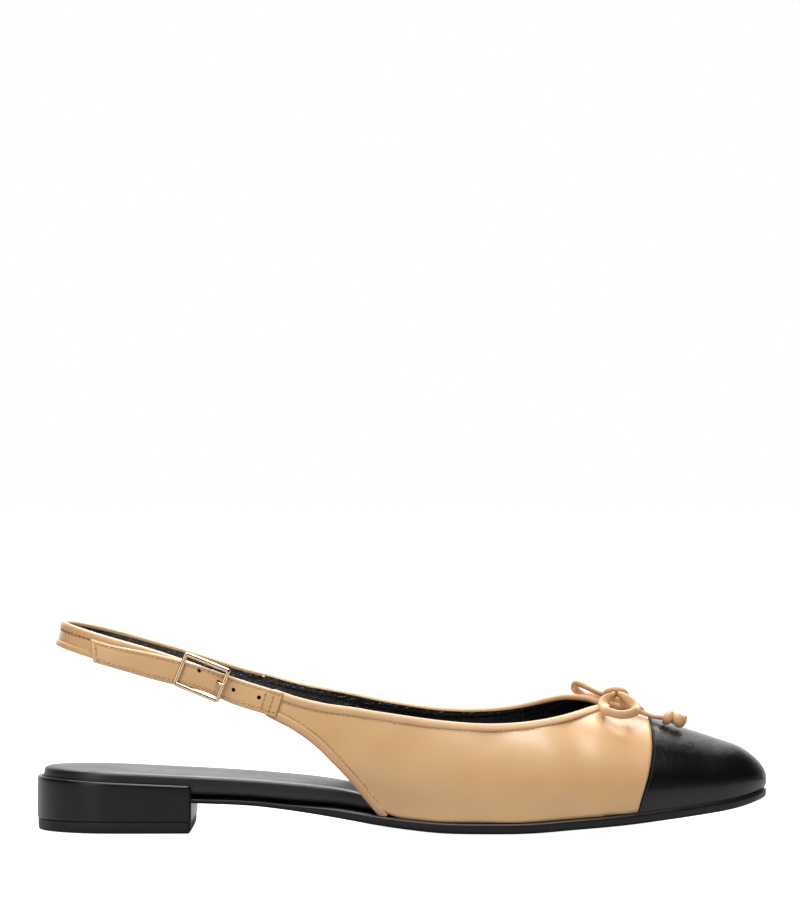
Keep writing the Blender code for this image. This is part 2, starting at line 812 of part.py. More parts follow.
def buckle_strap_shape(station, level):
    """Lowered and narrowed at the tip, its end upright, and nipped in beside the buckle."""
    along = -TIP_SQUARE * level * (1 - smooth((station - TIP_END) / TIP_SQUARE_RUN))
    drawn_in = lower_nip(station) * (0.5 - level) - tip_narrow(station) * (0.5 + level)
    return along, drawn_in - tip_drop(station)


def strap_frame(station, across_by, off):
    """Axes along, across and out of the buckle strap, at a point off its middle surface."""
    step = 0.5
    along = strap_point(station + step, 0.0, LATERAL) - strap_point(station - step, 0.0, LATERAL)
    across = strap_point(station, step, LATERAL) - strap_point(station, -step, LATERAL)
    along = Vector(along).normalized()
    out = along.cross(Vector(across)).normalized()
    across = out.cross(along)
    axes = Matrix((along, across, out)).transposed().to_4x4()
    place = Vector(strap_point(station, across_by - tip_drop(station), LATERAL)) + out * off
    axes.translation = to_world(place)
    return axes


def as_solid(made):
    """A curve object remade as a closed mesh, with its caps welded on."""
    bpy.context.view_layer.update()
    seen = made.evaluated_get(bpy.context.evaluated_depsgraph_get())
    mesh = bpy.data.meshes.new_from_object(seen)
    work = bmesh.new()
    work.from_mesh(mesh)
    bmesh.ops.remove_doubles(work, verts=work.verts, dist=WELD)
    bmesh.ops.recalc_face_normals(work, faces=work.faces)
    work.to_mesh(mesh)
    work.free()
    name, place = made.name, made.matrix_world.copy()
    bpy.data.objects.remove(made, do_unlink=True)
    solid = bpy.data.objects.new(name, mesh)
    solid.matrix_world = place
    PARTS.objects.link(solid)
    return solid


def hole_cutter(hole):
    """A pin through the strap, stretched along it."""
    mesh = bpy.data.meshes.new(hole.name)
    work = bmesh.new()
    depth = 8.0
    bmesh.ops.create_cone(
        work,
        cap_ends=True,
        segments=12,
        radius1=HOLE / 2 * MM,
        radius2=HOLE / 2 * MM,
        depth=depth * MM,
    )
    for corner in work.verts:
        corner.co.x *= hole.length / HOLE
    work.to_mesh(mesh)
    work.free()
    made = add_object(hole.name, mesh, TAN)
    made.matrix_world = strap_frame(hole.station, hole.across, over_bar(hole.station))
    return made


def build_buckle_strap():
    path = [(s, LATERAL) for s in spaced(TIP_END, STRAP_FRONT, TIP_STEP) + [STRAP_FRONT]]
    points, faces = strap_sheet(path, buckle_strap_shape)
    rows = len(points) // len(path)
    lifts = [over_bar(path[i // rows][0]) for i in range(len(points))]
    outer = [lift + STRAP_THICK / 2 for lift in lifts]
    inner = [lift - STRAP_THICK / 2 for lift in lifts]
    strap = thicken("buckle_strap", points, faces, outer, inner, TAN)
    for hole in HOLES:
        boolean(strap, hole_cutter(hole), "DIFFERENCE")


def buckle_ring(name, frame, height):
    """A flat frame with bevelled edges, its middle at a height over the strap."""
    curve = bpy.data.curves.new(name, "CURVE")
    curve.dimensions = "2D"
    curve.fill_mode = "BOTH"
    curve.extrude = (BUCKLE_DEPTH / 2 - BUCKLE_BEVEL) * MM
    curve.bevel_depth = BUCKLE_BEVEL * MM
    curve.bevel_resolution = 0
    corners = ((-1, -1), (1, -1), (1, 1), (-1, 1))
    for inset in (BUCKLE_BEVEL, BUCKLE_BAR - BUCKLE_BEVEL):
        spline = curve.splines.new("POLY")
        spline.points.add(len(corners) - 1)
        spline.use_cyclic_u = True
        for corner, (along, across) in zip(spline.points, corners):
            x = along * (BUCKLE_LENGTH / 2 - inset) * MM
            y = across * (BUCKLE_HEIGHT / 2 - inset) * MM
            corner.co = (x, y, 0.0, 1.0)
    ring_object = add_object(name, curve, GILT)
    ring_object.matrix_world = frame @ Matrix.Translation((0.0, 0.0, height * MM))
    return as_solid(ring_object)


def in_frame(frame, along, across, out):
    """A point of the shoe's frame from one in a strap frame's own millimetres."""
    place = frame @ (Vector((along, across, out)) * MM)
    return (place.x / MM + LENGTH / 2, place.y / MM - SIDE_SHIFT, place.z / MM)


def build_buckle():
    frame = strap_frame(BUCKLE_STATION, BUCKLE_RAISE, 0.0)
    under = over_bar(BUCKLE_STATION) + STRAP_THICK / 2 + GAP
    bar_top = over_bar(BUCKLE_STATION) - STRAP_THICK / 2 - GAP
    bar_middle = bar_top - CENTRE_BAR / 2
    buckle = buckle_ring("buckle_frame", frame, under + BUCKLE_DEPTH / 2)
    post_inset = 0.05
    corner = 0.5
    reach = BUCKLE_HEIGHT / 2 - CENTRE_BAR / 2 - post_inset
    half_bar = [
        (reach, under + BUCKLE_DEPTH / 2),
        (reach, bar_middle + corner),
        (reach - corner, bar_middle),
    ]
    bent = half_bar + [(-across, out) for across, out in half_bar[::-1]]
    bar = tube("buckle_bar", [in_frame(frame, 0.0, *place) for place in bent], CENTRE_BAR, GILT)
    boolean(buckle, as_solid(bar), "UNION")

    start = CENTRE_BAR / 2 + GAP + PRONG / 2
    hole = PRONG_HOLE.station - BUCKLE_STATION
    landing = BUCKLE_LENGTH / 2 - BUCKLE_BAR / 2
    top = under + BUCKLE_DEPTH + GAP + PRONG / 2
    route = [
        (start, bar_middle),
        (start + PRONG_BEND, bar_middle),
        (hole - 4 * PRONG_CLIMB, bar_middle - PRONG_EASE),
        (hole - PRONG_CLIMB, over_bar(PRONG_HOLE.station)),
        (hole, under),
        (hole + PRONG_CLIMB, top - PRONG_BEND),
        (landing - PRONG_BEND, top - PRONG_EASE),
        (landing, top),
        (landing + PRONG_BEND, top - PRONG_EASE),
    ]
    points = [in_frame(frame, along, 0.0, out) for along, out in route]
    tube("buckle_prong", smooth_route(points, 2), PRONG, GILT)


def smooth_route(points, steps):
    """Points of a smooth curve through a route."""
    route = [np.array(point, float) for point in points]
    route = [2 * route[0] - route[1]] + route + [2 * route[-1] - route[-2]]
    made = []
    for a, b, c, d in zip(route, route[1:], route[2:], route[3:]):
        for i in range(steps):
            t = i / steps
            bend = (2 * a - 5 * b + 4 * c - d) * t * t + (3 * b - a - 3 * c + d) * t**3
            made.append(b + ((c - a) * t + bend) / 2)
    return made + [route[-2]]


def ball(name, centre, half, finish):
    mesh = bpy.data.meshes.new(name)
    work = bmesh.new()
    bmesh.ops.create_uvsphere(work, u_segments=14, v_segments=9, radius=1.0)
    for corner in work.verts:
        corner.co = Vector([c * h * MM for c, h in zip(corner.co, half)])
    work.to_mesh(mesh)
    work.free()
    mesh.shade_smooth()
    made = add_object(name, mesh, finish)
    made.location = to_world(centre)
    return made


def off_ball(centre, half, towards):
    """The point a gap outside a ball in the direction of another point."""
    way = np.array(towards, float) - np.array(centre, float)
    way /= np.linalg.norm(way)
    reach = 1 / np.linalg.norm(way / np.array(half))
    return tuple(np.array(centre) + way * (reach + GAP))


def build_bow():
    ball("bow_knot", KNOT_CENTRE, KNOT_HALF, TAN_CORD)
    for name, loop in (("lateral", LOOP_LATERAL), ("medial", LOOP_MEDIAL)):
        ends = [off_ball(KNOT_CENTRE, KNOT_HALF, loop[i]) for i in (0, -1)]
        tube("bow_loop_" + name, smooth_route([ends[0]] + loop + [ends[1]], 3), CORD, TAN_CORD)
    tails = (("lateral", TAIL_LATERAL, END_KNOT_LATERAL), ("medial", TAIL_MEDIAL, END_KNOT_MEDIAL))
    for name, tail, end_half in tails:
        start = off_ball(KNOT_CENTRE, KNOT_HALF, tail[0])
        tube("bow_tail_" + name, smooth_route([start] + tail, 3), CORD, TAN_CORD)
        run = np.array(tail[-1]) - np.array(tail[-2])
        run /= np.linalg.norm(run)
        reach = 1 / np.linalg.norm(run / np.array(end_half))
        centre = np.array(tail[-1]) + run * (reach + GAP)
        ball("bow_end_" + name, centre, end_half, TAN_CORD)


build_outsole()
build_insole()
build_heel()
build_top_lift()
build_upper()
build_toe_cap()
build_bindings()
build_sling_strap()
build_buckle_strap()
build_buckle()
build_bow()
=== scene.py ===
# Cap-toe slingback flat, right shoe: leather, cord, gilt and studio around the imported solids
import math

import bmesh
import bpy
import numpy as np
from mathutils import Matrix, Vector
from mathutils.bvhtree import BVHTree


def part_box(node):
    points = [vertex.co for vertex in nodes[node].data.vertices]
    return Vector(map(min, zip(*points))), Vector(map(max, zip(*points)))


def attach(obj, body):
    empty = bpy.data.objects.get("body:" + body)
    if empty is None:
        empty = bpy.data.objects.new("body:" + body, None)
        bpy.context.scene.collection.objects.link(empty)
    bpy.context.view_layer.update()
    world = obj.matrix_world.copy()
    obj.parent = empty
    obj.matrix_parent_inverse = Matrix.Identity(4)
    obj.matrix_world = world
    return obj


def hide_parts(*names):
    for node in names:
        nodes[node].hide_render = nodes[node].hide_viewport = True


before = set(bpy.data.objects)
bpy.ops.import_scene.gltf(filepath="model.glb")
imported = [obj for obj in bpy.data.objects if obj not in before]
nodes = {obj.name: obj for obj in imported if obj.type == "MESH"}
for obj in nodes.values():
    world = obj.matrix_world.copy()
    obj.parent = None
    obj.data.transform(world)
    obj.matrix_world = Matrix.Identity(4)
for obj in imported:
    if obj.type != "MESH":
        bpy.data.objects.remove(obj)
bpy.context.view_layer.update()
mm = 0.001
weld = 1e-6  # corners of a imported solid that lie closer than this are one, m
tiny = 1e-12  # keeps a length of nothing from dividing
print("frame loaded:", len(nodes), "solids")


# Camera: level, in front of the outer side, as in the photograph
cameraSet = {
    "place": (-0.0008, -1.7, 0.1296),
    "lens": 187.64,  # mm on the long side of an 800 x 923 picture
    "sensor": 36.0,
}


def buildCamera():
    data = bpy.data.cameras.new("studioCamera")
    data.lens = cameraSet["lens"]
    data.sensor_width = cameraSet["sensor"]
    camera = bpy.data.objects.new("studioCamera", data)
    camera.location = cameraSet["place"]
    camera.rotation_euler = (math.radians(90), 0, 0)
    bpy.context.scene.collection.objects.link(camera)
    bpy.context.scene.camera = camera


# Small helpers for nodes and colours

def srgb(text):
    channels = [int(text[i:i + 2], 16) / 255 for i in (1, 3, 5)]
    linear = [c / 12.92 if c <= 0.04045 else ((c + 0.055) / 1.055) ** 2.4 for c in channels]
    return (*linear, 1.0)


def addNode(tree, kind, sockets=None, **settings):
    node = tree.nodes.new("ShaderNode" + kind)
    for name, value in settings.items():
        setattr(node, name, value)
    for name, value in (sockets or {}).items():
        if isinstance(value, bpy.types.NodeSocket):
            tree.links.new(value, node.inputs[name])
        else:
            node.inputs[name].default_value = value
    return node


def newMaterial(name, sockets):
    made = bpy.data.materials.new(name)
    made.use_nodes = True
    tree = made.node_tree
    shader = tree.nodes["Principled BSDF"]
    for socket, value in sockets.items():
        shader.inputs[socket].default_value = value
    return made, tree, shader


# Leathers. Grain is a net of fine valleys between cells, with a softer swell of the hide under it. Real
# pores, about 0.2 mm apart, would not show, so every grain is drawn coarser than that.
hideSet = {
    "mottleDetail": 3.0,
    "swellDetail": 2.0,
    "valley": 0.22,  # a valley's reach from its cell's edge, share of the cell
    "wiped": (0.3, 0.7),  # the stretch of the mottle over which the finish goes from smooth to dull
}


def leather(look):
    made, tree, shader = newMaterial(look["name"], look["shader"])
    where = addNode(tree, "TexCoord").outputs["Object"]
    hide = addNode(tree, "TexNoise", {"Vector": where, "Scale": 1 / (look["mottleMm"] * mm),
                                      "Detail": hideSet["mottleDetail"]})
    tint = addNode(tree, "Mix", {0: hide.outputs["Fac"], 6: srgb(look["deep"]), 7: srgb(look["pale"])},
                   data_type="RGBA")
    tree.links.new(tint.outputs[2], shader.inputs["Base Color"])
    cells = addNode(tree, "TexVoronoi", {"Vector": where, "Scale": 1 / (look["grainMm"] * mm)},
                    feature="DISTANCE_TO_EDGE")
    valleys = addNode(tree, "MapRange", {"Value": cells.outputs["Distance"], "From Min": 0.0,
                                         "From Max": hideSet["valley"]}, interpolation_type="SMOOTHSTEP")
    swell = addNode(tree, "TexNoise", {"Vector": where, "Scale": 1 / (look["swellMm"] * mm),
                                       "Detail": hideSet["swellDetail"]})
    grain = addNode(tree, "Bump", {"Height": valleys.outputs["Result"], "Strength": look["grain"],
                                   "Distance": look["grainDeepMm"] * mm})
    soft = addNode(tree, "Bump", {"Height": swell.outputs["Fac"], "Strength": look["swell"],
                                  "Distance": look["swellDeepMm"] * mm, "Normal": grain.outputs["Normal"]})
    tree.links.new(soft.outputs["Normal"], shader.inputs["Normal"])
    low, high = look["rough"]
    smooth, dull = hideSet["wiped"]
    wipe = addNode(tree, "MapRange", {"Value": hide.outputs["Fac"], "From Min": smooth, "From Max": dull,
                                      "To Min": low, "To Max": high})
    tree.links.new(wipe.outputs["Result"], shader.inputs["Roughness"])
    return made


# Drum-dyed calf, lightly plated: an even warm tan with a broad soft sheen.
tanCalf = leather({
    "name": "drum_dyed_calf_plated", "deep": "#C99C69", "pale": "#D3A978", "mottleMm": 14,
    "grainMm": 0.9, "grainDeepMm": 0.02, "grain": 0.5, "swellMm": 6, "swellDeepMm": 0.12, "swell": 0.35,
    "rough": (0.38, 0.48),
    "shader": {"IOR": 1.5, "Coat Weight": 0.8, "Coat Roughness": 0.3, "Sheen Weight": 0.03},
})

# The same calf skived thin and rolled: a little deeper where the fold has drawn the dye together.
tanRolled = leather({
    "name": "skived_calf_rolled", "deep": "#C19669", "pale": "#CEA579", "mottleMm": 5,
    "grainMm": 0.7, "grainDeepMm": 0.02, "grain": 0.5, "swellMm": 2.2, "swellDeepMm": 0.07, "swell": 0.4,
    "rough": (0.4, 0.52),
    "shader": {"IOR": 1.5, "Coat Weight": 0.08, "Coat Roughness": 0.35, "Sheen Weight": 0.06},
})

# Box calf, glazed with a glass roller: near black with clear reflections, broken by a fine grain.
blackCalf = leather({
    "name": "box_calf_glazed", "deep": "#0B0B0C", "pale": "#121213", "mottleMm": 12,
    "grainMm": 0.62, "grainDeepMm": 0.03, "grain": 0.75, "swellMm": 3, "swellDeepMm": 0.04, "swell": 0.4,
    "rough": (0.15, 0.21),
    "shader": {"IOR": 1.47, "Coat Weight": 0.1, "Coat Roughness": 0.12},
})

# Glazed goatskin lining: black, with a tight pebble that breaks highlights into glints.
liningGoat = leather({
    "name": "goatskin_lining_glazed", "deep": "#080808", "pale": "#0F0F10", "mottleMm": 9,
    "grainMm": 1.4, "grainDeepMm": 0.25, "grain": 1.0, "swellMm": 3.5, "swellDeepMm": 0.2, "swell": 0.4,
    "rough": (0.28, 0.4),
    "shader": {"IOR": 1.5, "Coat Weight": 0.6, "Coat Roughness": 0.25},
})

# Calf sock, wrapped over the footbed and pressed: black, with a wide satin sheen at a low angle.
sockCalf = leather({
    "name": "calf_sock_pressed", "deep": "#121213", "pale": "#1A1A1B", "mottleMm": 20,
    "grainMm": 0.8, "grainDeepMm": 0.02, "grain": 0.6, "swellMm": 7, "swellDeepMm": 0.12, "swell": 0.4,
    "rough": (0.34, 0.46),
    "shader": {"IOR": 1.5, "Coat Weight": 0.1, "Coat Roughness": 0.4},
})

# Heel cover, calf glued over the block and ironed: black and smooth, with long soft reflections.
heelCalf = leather({
    "name": "calf_heel_cover_ironed", "deep": "#0A0A0B", "pale": "#0F0F10", "mottleMm": 15,
    "grainMm": 0.8, "grainDeepMm": 0.012, "grain": 0.5, "swellMm": 8, "swellDeepMm": 0.06, "swell": 0.4,
    "rough": (0.26, 0.34),
    "shader": {"IOR": 1.43, "Coat Weight": 0.05, "Coat Roughness": 0.22},
})

# Leather-board sole, edge inked and waxed: satin black, faintly uneven.
soleWax = leather({
    "name": "leather_board_edge_waxed", "deep": "#0A0A0A", "pale": "#121212", "mottleMm": 10,
    "grainMm": 1.1, "grainDeepMm": 0.015, "grain": 0.4, "swellMm": 5, "swellDeepMm": 0.08, "swell": 0.4,
    "rough": (0.3, 0.42),
    "shader": {"IOR": 1.43, "Coat Weight": 0.05, "Coat Roughness": 0.3},
})

# Vulcanised rubber lift, buffed: flat black with no clear reflection.
liftRubber = leather({
    "name": "vulcanised_rubber_buffed", "deep": "#0F0F0F", "pale": "#171717", "mottleMm": 8,
    "grainMm": 0.6, "grainDeepMm": 0.015, "grain": 0.6, "swellMm": 4, "swellDeepMm": 0.04, "swell": 0.3,
    "rough": (0.48, 0.6),
    "shader": {"IOR": 1.46},
})


# Zinc buckle, polished and plated pale gold: mirror-like, with slight waves left by the polishing wheel.
giltSet = {
    "deep": "#E3C09A", "pale": "#F2DCBE", "wearMm": 3, "wearDetail": 3.0,
    "waveMm": 1.6, "waveDetail": 1.0, "waveDeepMm": 0.05, "wave": 0.15,
    "shader": {"Metallic": 1.0, "Roughness": 0.17},
}


def giltPlate():
    made, tree, shader = newMaterial("zinc_casting_gold_plated", giltSet["shader"])
    where = addNode(tree, "TexCoord").outputs["Object"]
    wear = addNode(tree, "TexNoise", {"Vector": where, "Scale": 1 / (giltSet["wearMm"] * mm),
                                      "Detail": giltSet["wearDetail"]})
    tint = addNode(tree, "Mix", {0: wear.outputs["Fac"], 6: srgb(giltSet["deep"]), 7: srgb(giltSet["pale"])},
                   data_type="RGBA")
    tree.links.new(tint.outputs[2], shader.inputs["Base Color"])
    wheel = addNode(tree, "TexNoise", {"Vector": where, "Scale": 1 / (giltSet["waveMm"] * mm),
                                       "Detail": giltSet["waveDetail"]})
    wave = addNode(tree, "Bump", {"Height": wheel.outputs["Fac"], "Strength": giltSet["wave"],
                                  "Distance": giltSet["waveDeepMm"] * mm})
    tree.links.new(wave.outputs["Normal"], shader.inputs["Normal"])
    return made


# Bonded polyester thread, twisted and lubricated: slanted plies, with painted shade in the grooves between
# them. The wave's scale draws them just under 1 mm apart, coarser than on real thread, so that they show at
# all.
threadSet = {
    "plyMm": 2.4, "wander": 1.5, "twist": 0.5, "twistDeepMm": 0.04,
    "shader": {"Roughness": 0.5, "Sheen Weight": 0.15, "IOR": 1.52},
}


def twistedThread(name, deep, pale):
    made, tree, shader = newMaterial(name, threadSet["shader"])
    where = addNode(tree, "TexCoord").outputs["Object"]
    plies = addNode(tree, "TexWave", {"Vector": where, "Scale": 1 / (threadSet["plyMm"] * mm),
                                      "Distortion": threadSet["wander"]}, bands_direction="DIAGONAL")
    # painted shade: the colour follows the plies' wave, deep in its grooves and pale on its tops
    tint = addNode(tree, "Mix", {0: plies.outputs["Fac"], 6: srgb(deep), 7: srgb(pale)}, data_type="RGBA")
    tree.links.new(tint.outputs[2], shader.inputs["Base Color"])
    twist = addNode(tree, "Bump", {"Height": plies.outputs["Fac"], "Strength": threadSet["twist"],
                                   "Distance": threadSet["twistDeepMm"] * mm})
    tree.links.new(twist.outputs["Normal"], shader.inputs["Normal"])
    return made


# Painted shade for the inside of punched holes and needle holes: a near-black brown with a fine mottle,
# standing in for the shade deep in a hole.
holeShadeSet = {
    "deep": "#1E120A", "pale": "#3A2416", "fuzzMm": 0.3, "fuzzDetail": 4.0,
    "shader": {"Roughness": 0.9, "IOR": 1.45},
}


def paintHoleShade():
    made, tree, shader = newMaterial("hole_interior_painted_shade", holeShadeSet["shader"])
    where = addNode(tree, "TexCoord").outputs["Object"]
    fuzz = addNode(tree, "TexNoise", {"Vector": where, "Scale": 1 / (holeShadeSet["fuzzMm"] * mm),
                                      "Detail": holeShadeSet["fuzzDetail"]})
    tint = addNode(tree, "Mix", {0: fuzz.outputs["Fac"], 6: srgb(holeShadeSet["deep"]),
                                 7: srgb(holeShadeSet["pale"])}, data_type="RGBA")
    tree.links.new(tint.outputs[2], shader.inputs["Base Color"])
    return made


gilt = giltPlate()
tanThread = twistedThread("polyester_thread_tan", "#B98B58", "#D2A876")
blackThread = twistedThread("polyester_thread_black", "#0A0A0A", "#1B1B1B")
paintedHoleShade = paintHoleShade()
print("materials made:", len(bpy.data.materials))


# Mesh helpers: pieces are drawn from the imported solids, so their sizes come from the frame
shaping = {
    "quadBend": 0.7,  # two triangles are joined if they bend and lean no more than this, radians
    "quadLean": 1.3,
    "between": 12,  # points between two rows of a smooth line, before they are spaced evenly
    "flat": 0.9,  # faces of one end look the same way to this cosine
    "ahead": 0.6,  # a rail goes on within this cosine of its heading
    "fold": 0.9,  # along edges folded by at least this, radians
    "levels": 2,  # subdivisions of a solid's cage
    "glossLevels": 3,  # and of one that mirrors the soft boxes
}


def cadCage(node):
    work = bmesh.new()
    work.from_mesh(nodes[node].data)
    bmesh.ops.remove_doubles(work, verts=work.verts, dist=weld)
    return work


def cadTree(node):
    work = cadCage(node)
    tree = BVHTree.FromBMesh(work)
    work.free()
    return tree


def joinQuads(work):
    bmesh.ops.join_triangles(work, faces=work.faces, angle_face_threshold=shaping["quadBend"],
                             angle_shape_threshold=shaping["quadLean"])


def pressInto(work, node, reach, deep):  # corners that rest on a solid sink into it, which shuts out light
    tree = cadTree(node)
    for vert in work.verts:
        if tree.find_nearest(vert.co, reach)[0]:
            vert.co.z -= deep


def creaseSharp(work, degrees, amount):
    layer = work.edges.layers.float.get("crease_edge") or work.edges.layers.float.new("crease_edge")
    for edge in work.edges:
        if len(edge.link_faces) == 2 and edge.calc_face_angle() > math.radians(degrees):
            edge[layer] = amount


def newPiece(name, work, materials):
    mesh = bpy.data.meshes.new(name)
    bmesh.ops.recalc_face_normals(work, faces=work.faces)
    work.to_mesh(mesh)
    work.free()
    for material in materials:
        mesh.materials.append(material)
    mesh.shade_smooth()
    piece = bpy.data.objects.new(name, mesh)
    bpy.context.scene.collection.objects.link(piece)
    return piece


def baked(piece):
    bpy.context.view_layer.update()
    shown = piece.evaluated_get(bpy.context.evaluated_depsgraph_get())
    mesh = bpy.data.meshes.new_from_object(shown)
    before = piece.data
    piece.modifiers.clear()
    piece.data = mesh
    bpy.data.meshes.remove(before)
    return piece


def rounded(piece, levels=shaping["levels"]):
    smooth = piece.modifiers.new("rounded", "SUBSURF")
    smooth.levels = levels
    smooth.render_levels = levels
    return baked(piece)


def dress(piece, slotName, *standsFor):
    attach(piece, "root")
    if standsFor:
        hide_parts(*standsFor)


def unit(rows):
    rows = np.asarray(rows, float)
    return rows / np.maximum(np.linalg.norm(rows, axis=-1, keepdims=True), tiny)


def smoothLine(rows, step):  # even points on a curve through the rows; extra columns ride along
    rows = np.asarray(rows, float)
    ends = np.vstack([2 * rows[0] - rows[1], rows, 2 * rows[-1] - rows[-2]])
    fine = []
    for a, b, c, d in zip(ends, ends[1:], ends[2:], ends[3:]):
        for t in np.linspace(0, 1, shaping["between"], endpoint=False):
            bend = (2 * a - 5 * b + 4 * c - d) * t * t + (3 * b - a - 3 * c + d) * t ** 3
            fine.append(b + ((c - a) * t + bend) / 2)
    fine = np.array(fine + [rows[-1]])
    run = np.concatenate([[0], np.cumsum(np.linalg.norm(np.diff(fine[:, :3], axis=0), axis=1))])
    at = np.linspace(0, run[-1], max(2, round(run[-1] / step)) + 1)
    return np.stack([np.interp(at, run, column) for column in fine.T], axis=1)


def headings(points):
    return unit(np.gradient(np.asarray(points, float), axis=0))


def roundTurn(count):
    return np.linspace(0, 2 * math.pi, count + 1)[:-1]


def bandBetween(work, first, second, finishes=None):  # faces from one ring of corners to the next
    for k in range(len(first)):
        after = (k + 1) % len(first)
        face = work.faces.new((first[k], first[after], second[after], second[k]))
        if finishes:
            face.material_index = finishes[k]


def fanTo(work, ring, middle, finish):
    for k in range(len(ring)):
        face = work.faces.new((ring[k], ring[(k + 1) % len(ring)], middle))
        face.material_index = finish


def sweep(name, centres, sides, ups, profiles, materials, finishes=None, closed=False, endFinish=0):
    work = bmesh.new()
    rings = []
    for centre, side, up, profile in zip(centres, sides, ups, profiles):
        rings.append([work.verts.new(centre + side * a + up * b) for a, b in profile])
    for first, second in zip(rings, rings[1:] + rings[:1] if closed else rings[1:]):
        bandBetween(work, first, second, finishes)
    for ring in () if closed else (rings[0], rings[-1]):
        middle = work.verts.new(np.mean([vert.co[:] for vert in ring], axis=0))
        fanTo(work, ring, middle, endFinish)
    return newPiece(name, work, materials)


def endCap(work, towards):  # corners of the flat end that faces a direction
    towards = Vector(towards)
    first = max(work.verts, key=lambda vert: vert.co.dot(towards))
    cap = max(first.link_faces, key=lambda face: face.normal.dot(towards))
    flat = {cap}
    grow = [cap]
    while grow:
        for edge in grow.pop().edges:
            for other in edge.link_faces:
                if other not in flat and other.normal.dot(cap.normal) > shaping["flat"]:
                    flat.add(other)
                    grow.append(other)
    return {vert for face in flat for vert in face.verts}


def beadLine(node, towards):  # centres of a bead's vertex rings, from the end that faces a direction
    work = cadCage(node)
    layer = endCap(work, towards)
    seen = set(layer)
    centres = []
    while layer:
        centres.append(np.mean([vert.co[:] for vert in layer], axis=0))
        layer = {edge.other_vert(vert) for vert in layer for edge in vert.link_edges} - seen
        seen |= layer
    work.free()
    return np.array(centres)


def railFrom(corner, cap):  # the sharp edge that leaves an end's corner, followed to the other end
    rail = [corner]
    before, heading = None, None
    while True:
        best, turn = None, shaping["ahead"]
        for edge in rail[-1].link_edges:
            other = edge.other_vert(rail[-1])
            if edge is before or other in cap or edge.calc_face_angle(0) < shaping["fold"]:
                continue
            way = (other.co - rail[-1].co).normalized()
            straight = way.dot(heading) if heading else 1.0
            if straight > turn:
                best, turn = edge, straight
        if best is None:
            return np.array([vert.co[:] for vert in rail])
        other = best.other_vert(rail[-1])
        heading = (other.co - rail[-1].co).normalized()
        before = best
        rail.append(other)


# Stitches: short lengths of thread laid end to end, with a needle hole before each, coloured in painted
# shade
stitch = {
    "sides": 6,
    "pressed": 0.8,  # the thread's thickness off the leather, share of its width
    "shape": [  # share of the stitch's length, share of the thread's width, lift in threads
        (0.0, 0.15, -0.5), (0.12, 0.8, -0.1), (0.32, 1.0, 0.25), (0.68, 1.0, 0.25), (0.88, 0.8, -0.1),
        (1.0, 0.15, -0.5)],
    "holeDeep": 0.25 * mm,
}


def laidOn(tree, spots):  # the nearest places on a skin, and the way that it faces there
    found = [tree.find_nearest(Vector(spot)) for spot in spots]
    return np.array([hit[0][:] for hit in found]), np.array([hit[1][:] for hit in found])


def stitchRow(name, points, normals, look):
    work = bmesh.new()
    line = smoothLine(np.hstack([points, normals]), look["pitch"])
    around = roundTurn(stitch["sides"])
    for here, there in zip(line, line[1:]):
        run = there[:3] - here[:3]
        length = np.linalg.norm(run)
        run = run / length
        out = unit(here[3:6] + there[3:6])
        side = np.cross(run, out)
        start = here[:3] + run * look["hole"] / 2
        rings = []
        for share, fat, lift in stitch["shape"]:
            centre = start + run * (length - look["hole"]) * share + out * lift * look["thread"]
            half = fat * look["thread"] / 2
            ways = [side * math.cos(a) + out * math.sin(a) * stitch["pressed"] for a in around]
            rings.append([work.verts.new(centre + way * half) for way in ways])
        for first, second in zip(rings, rings[1:]):
            bandBetween(work, first, second)
        for ring in (rings[0], rings[-1]):
            work.faces.new(ring)
        # the needle hole: a small cone sunk into the leather, in the painted shade material
        rim = here[:3] + out * look["rise"]
        ways = [run * math.cos(a) + side * math.sin(a) for a in around]
        hole = [work.verts.new(rim + way * look["hole"] / 2) for way in ways]
        floor = work.verts.new(here[:3] - out * stitch["holeDeep"])
        fanTo(work, hole, floor, 1)
    return newPiece(name, work, [look["material"], look["shadow"]])


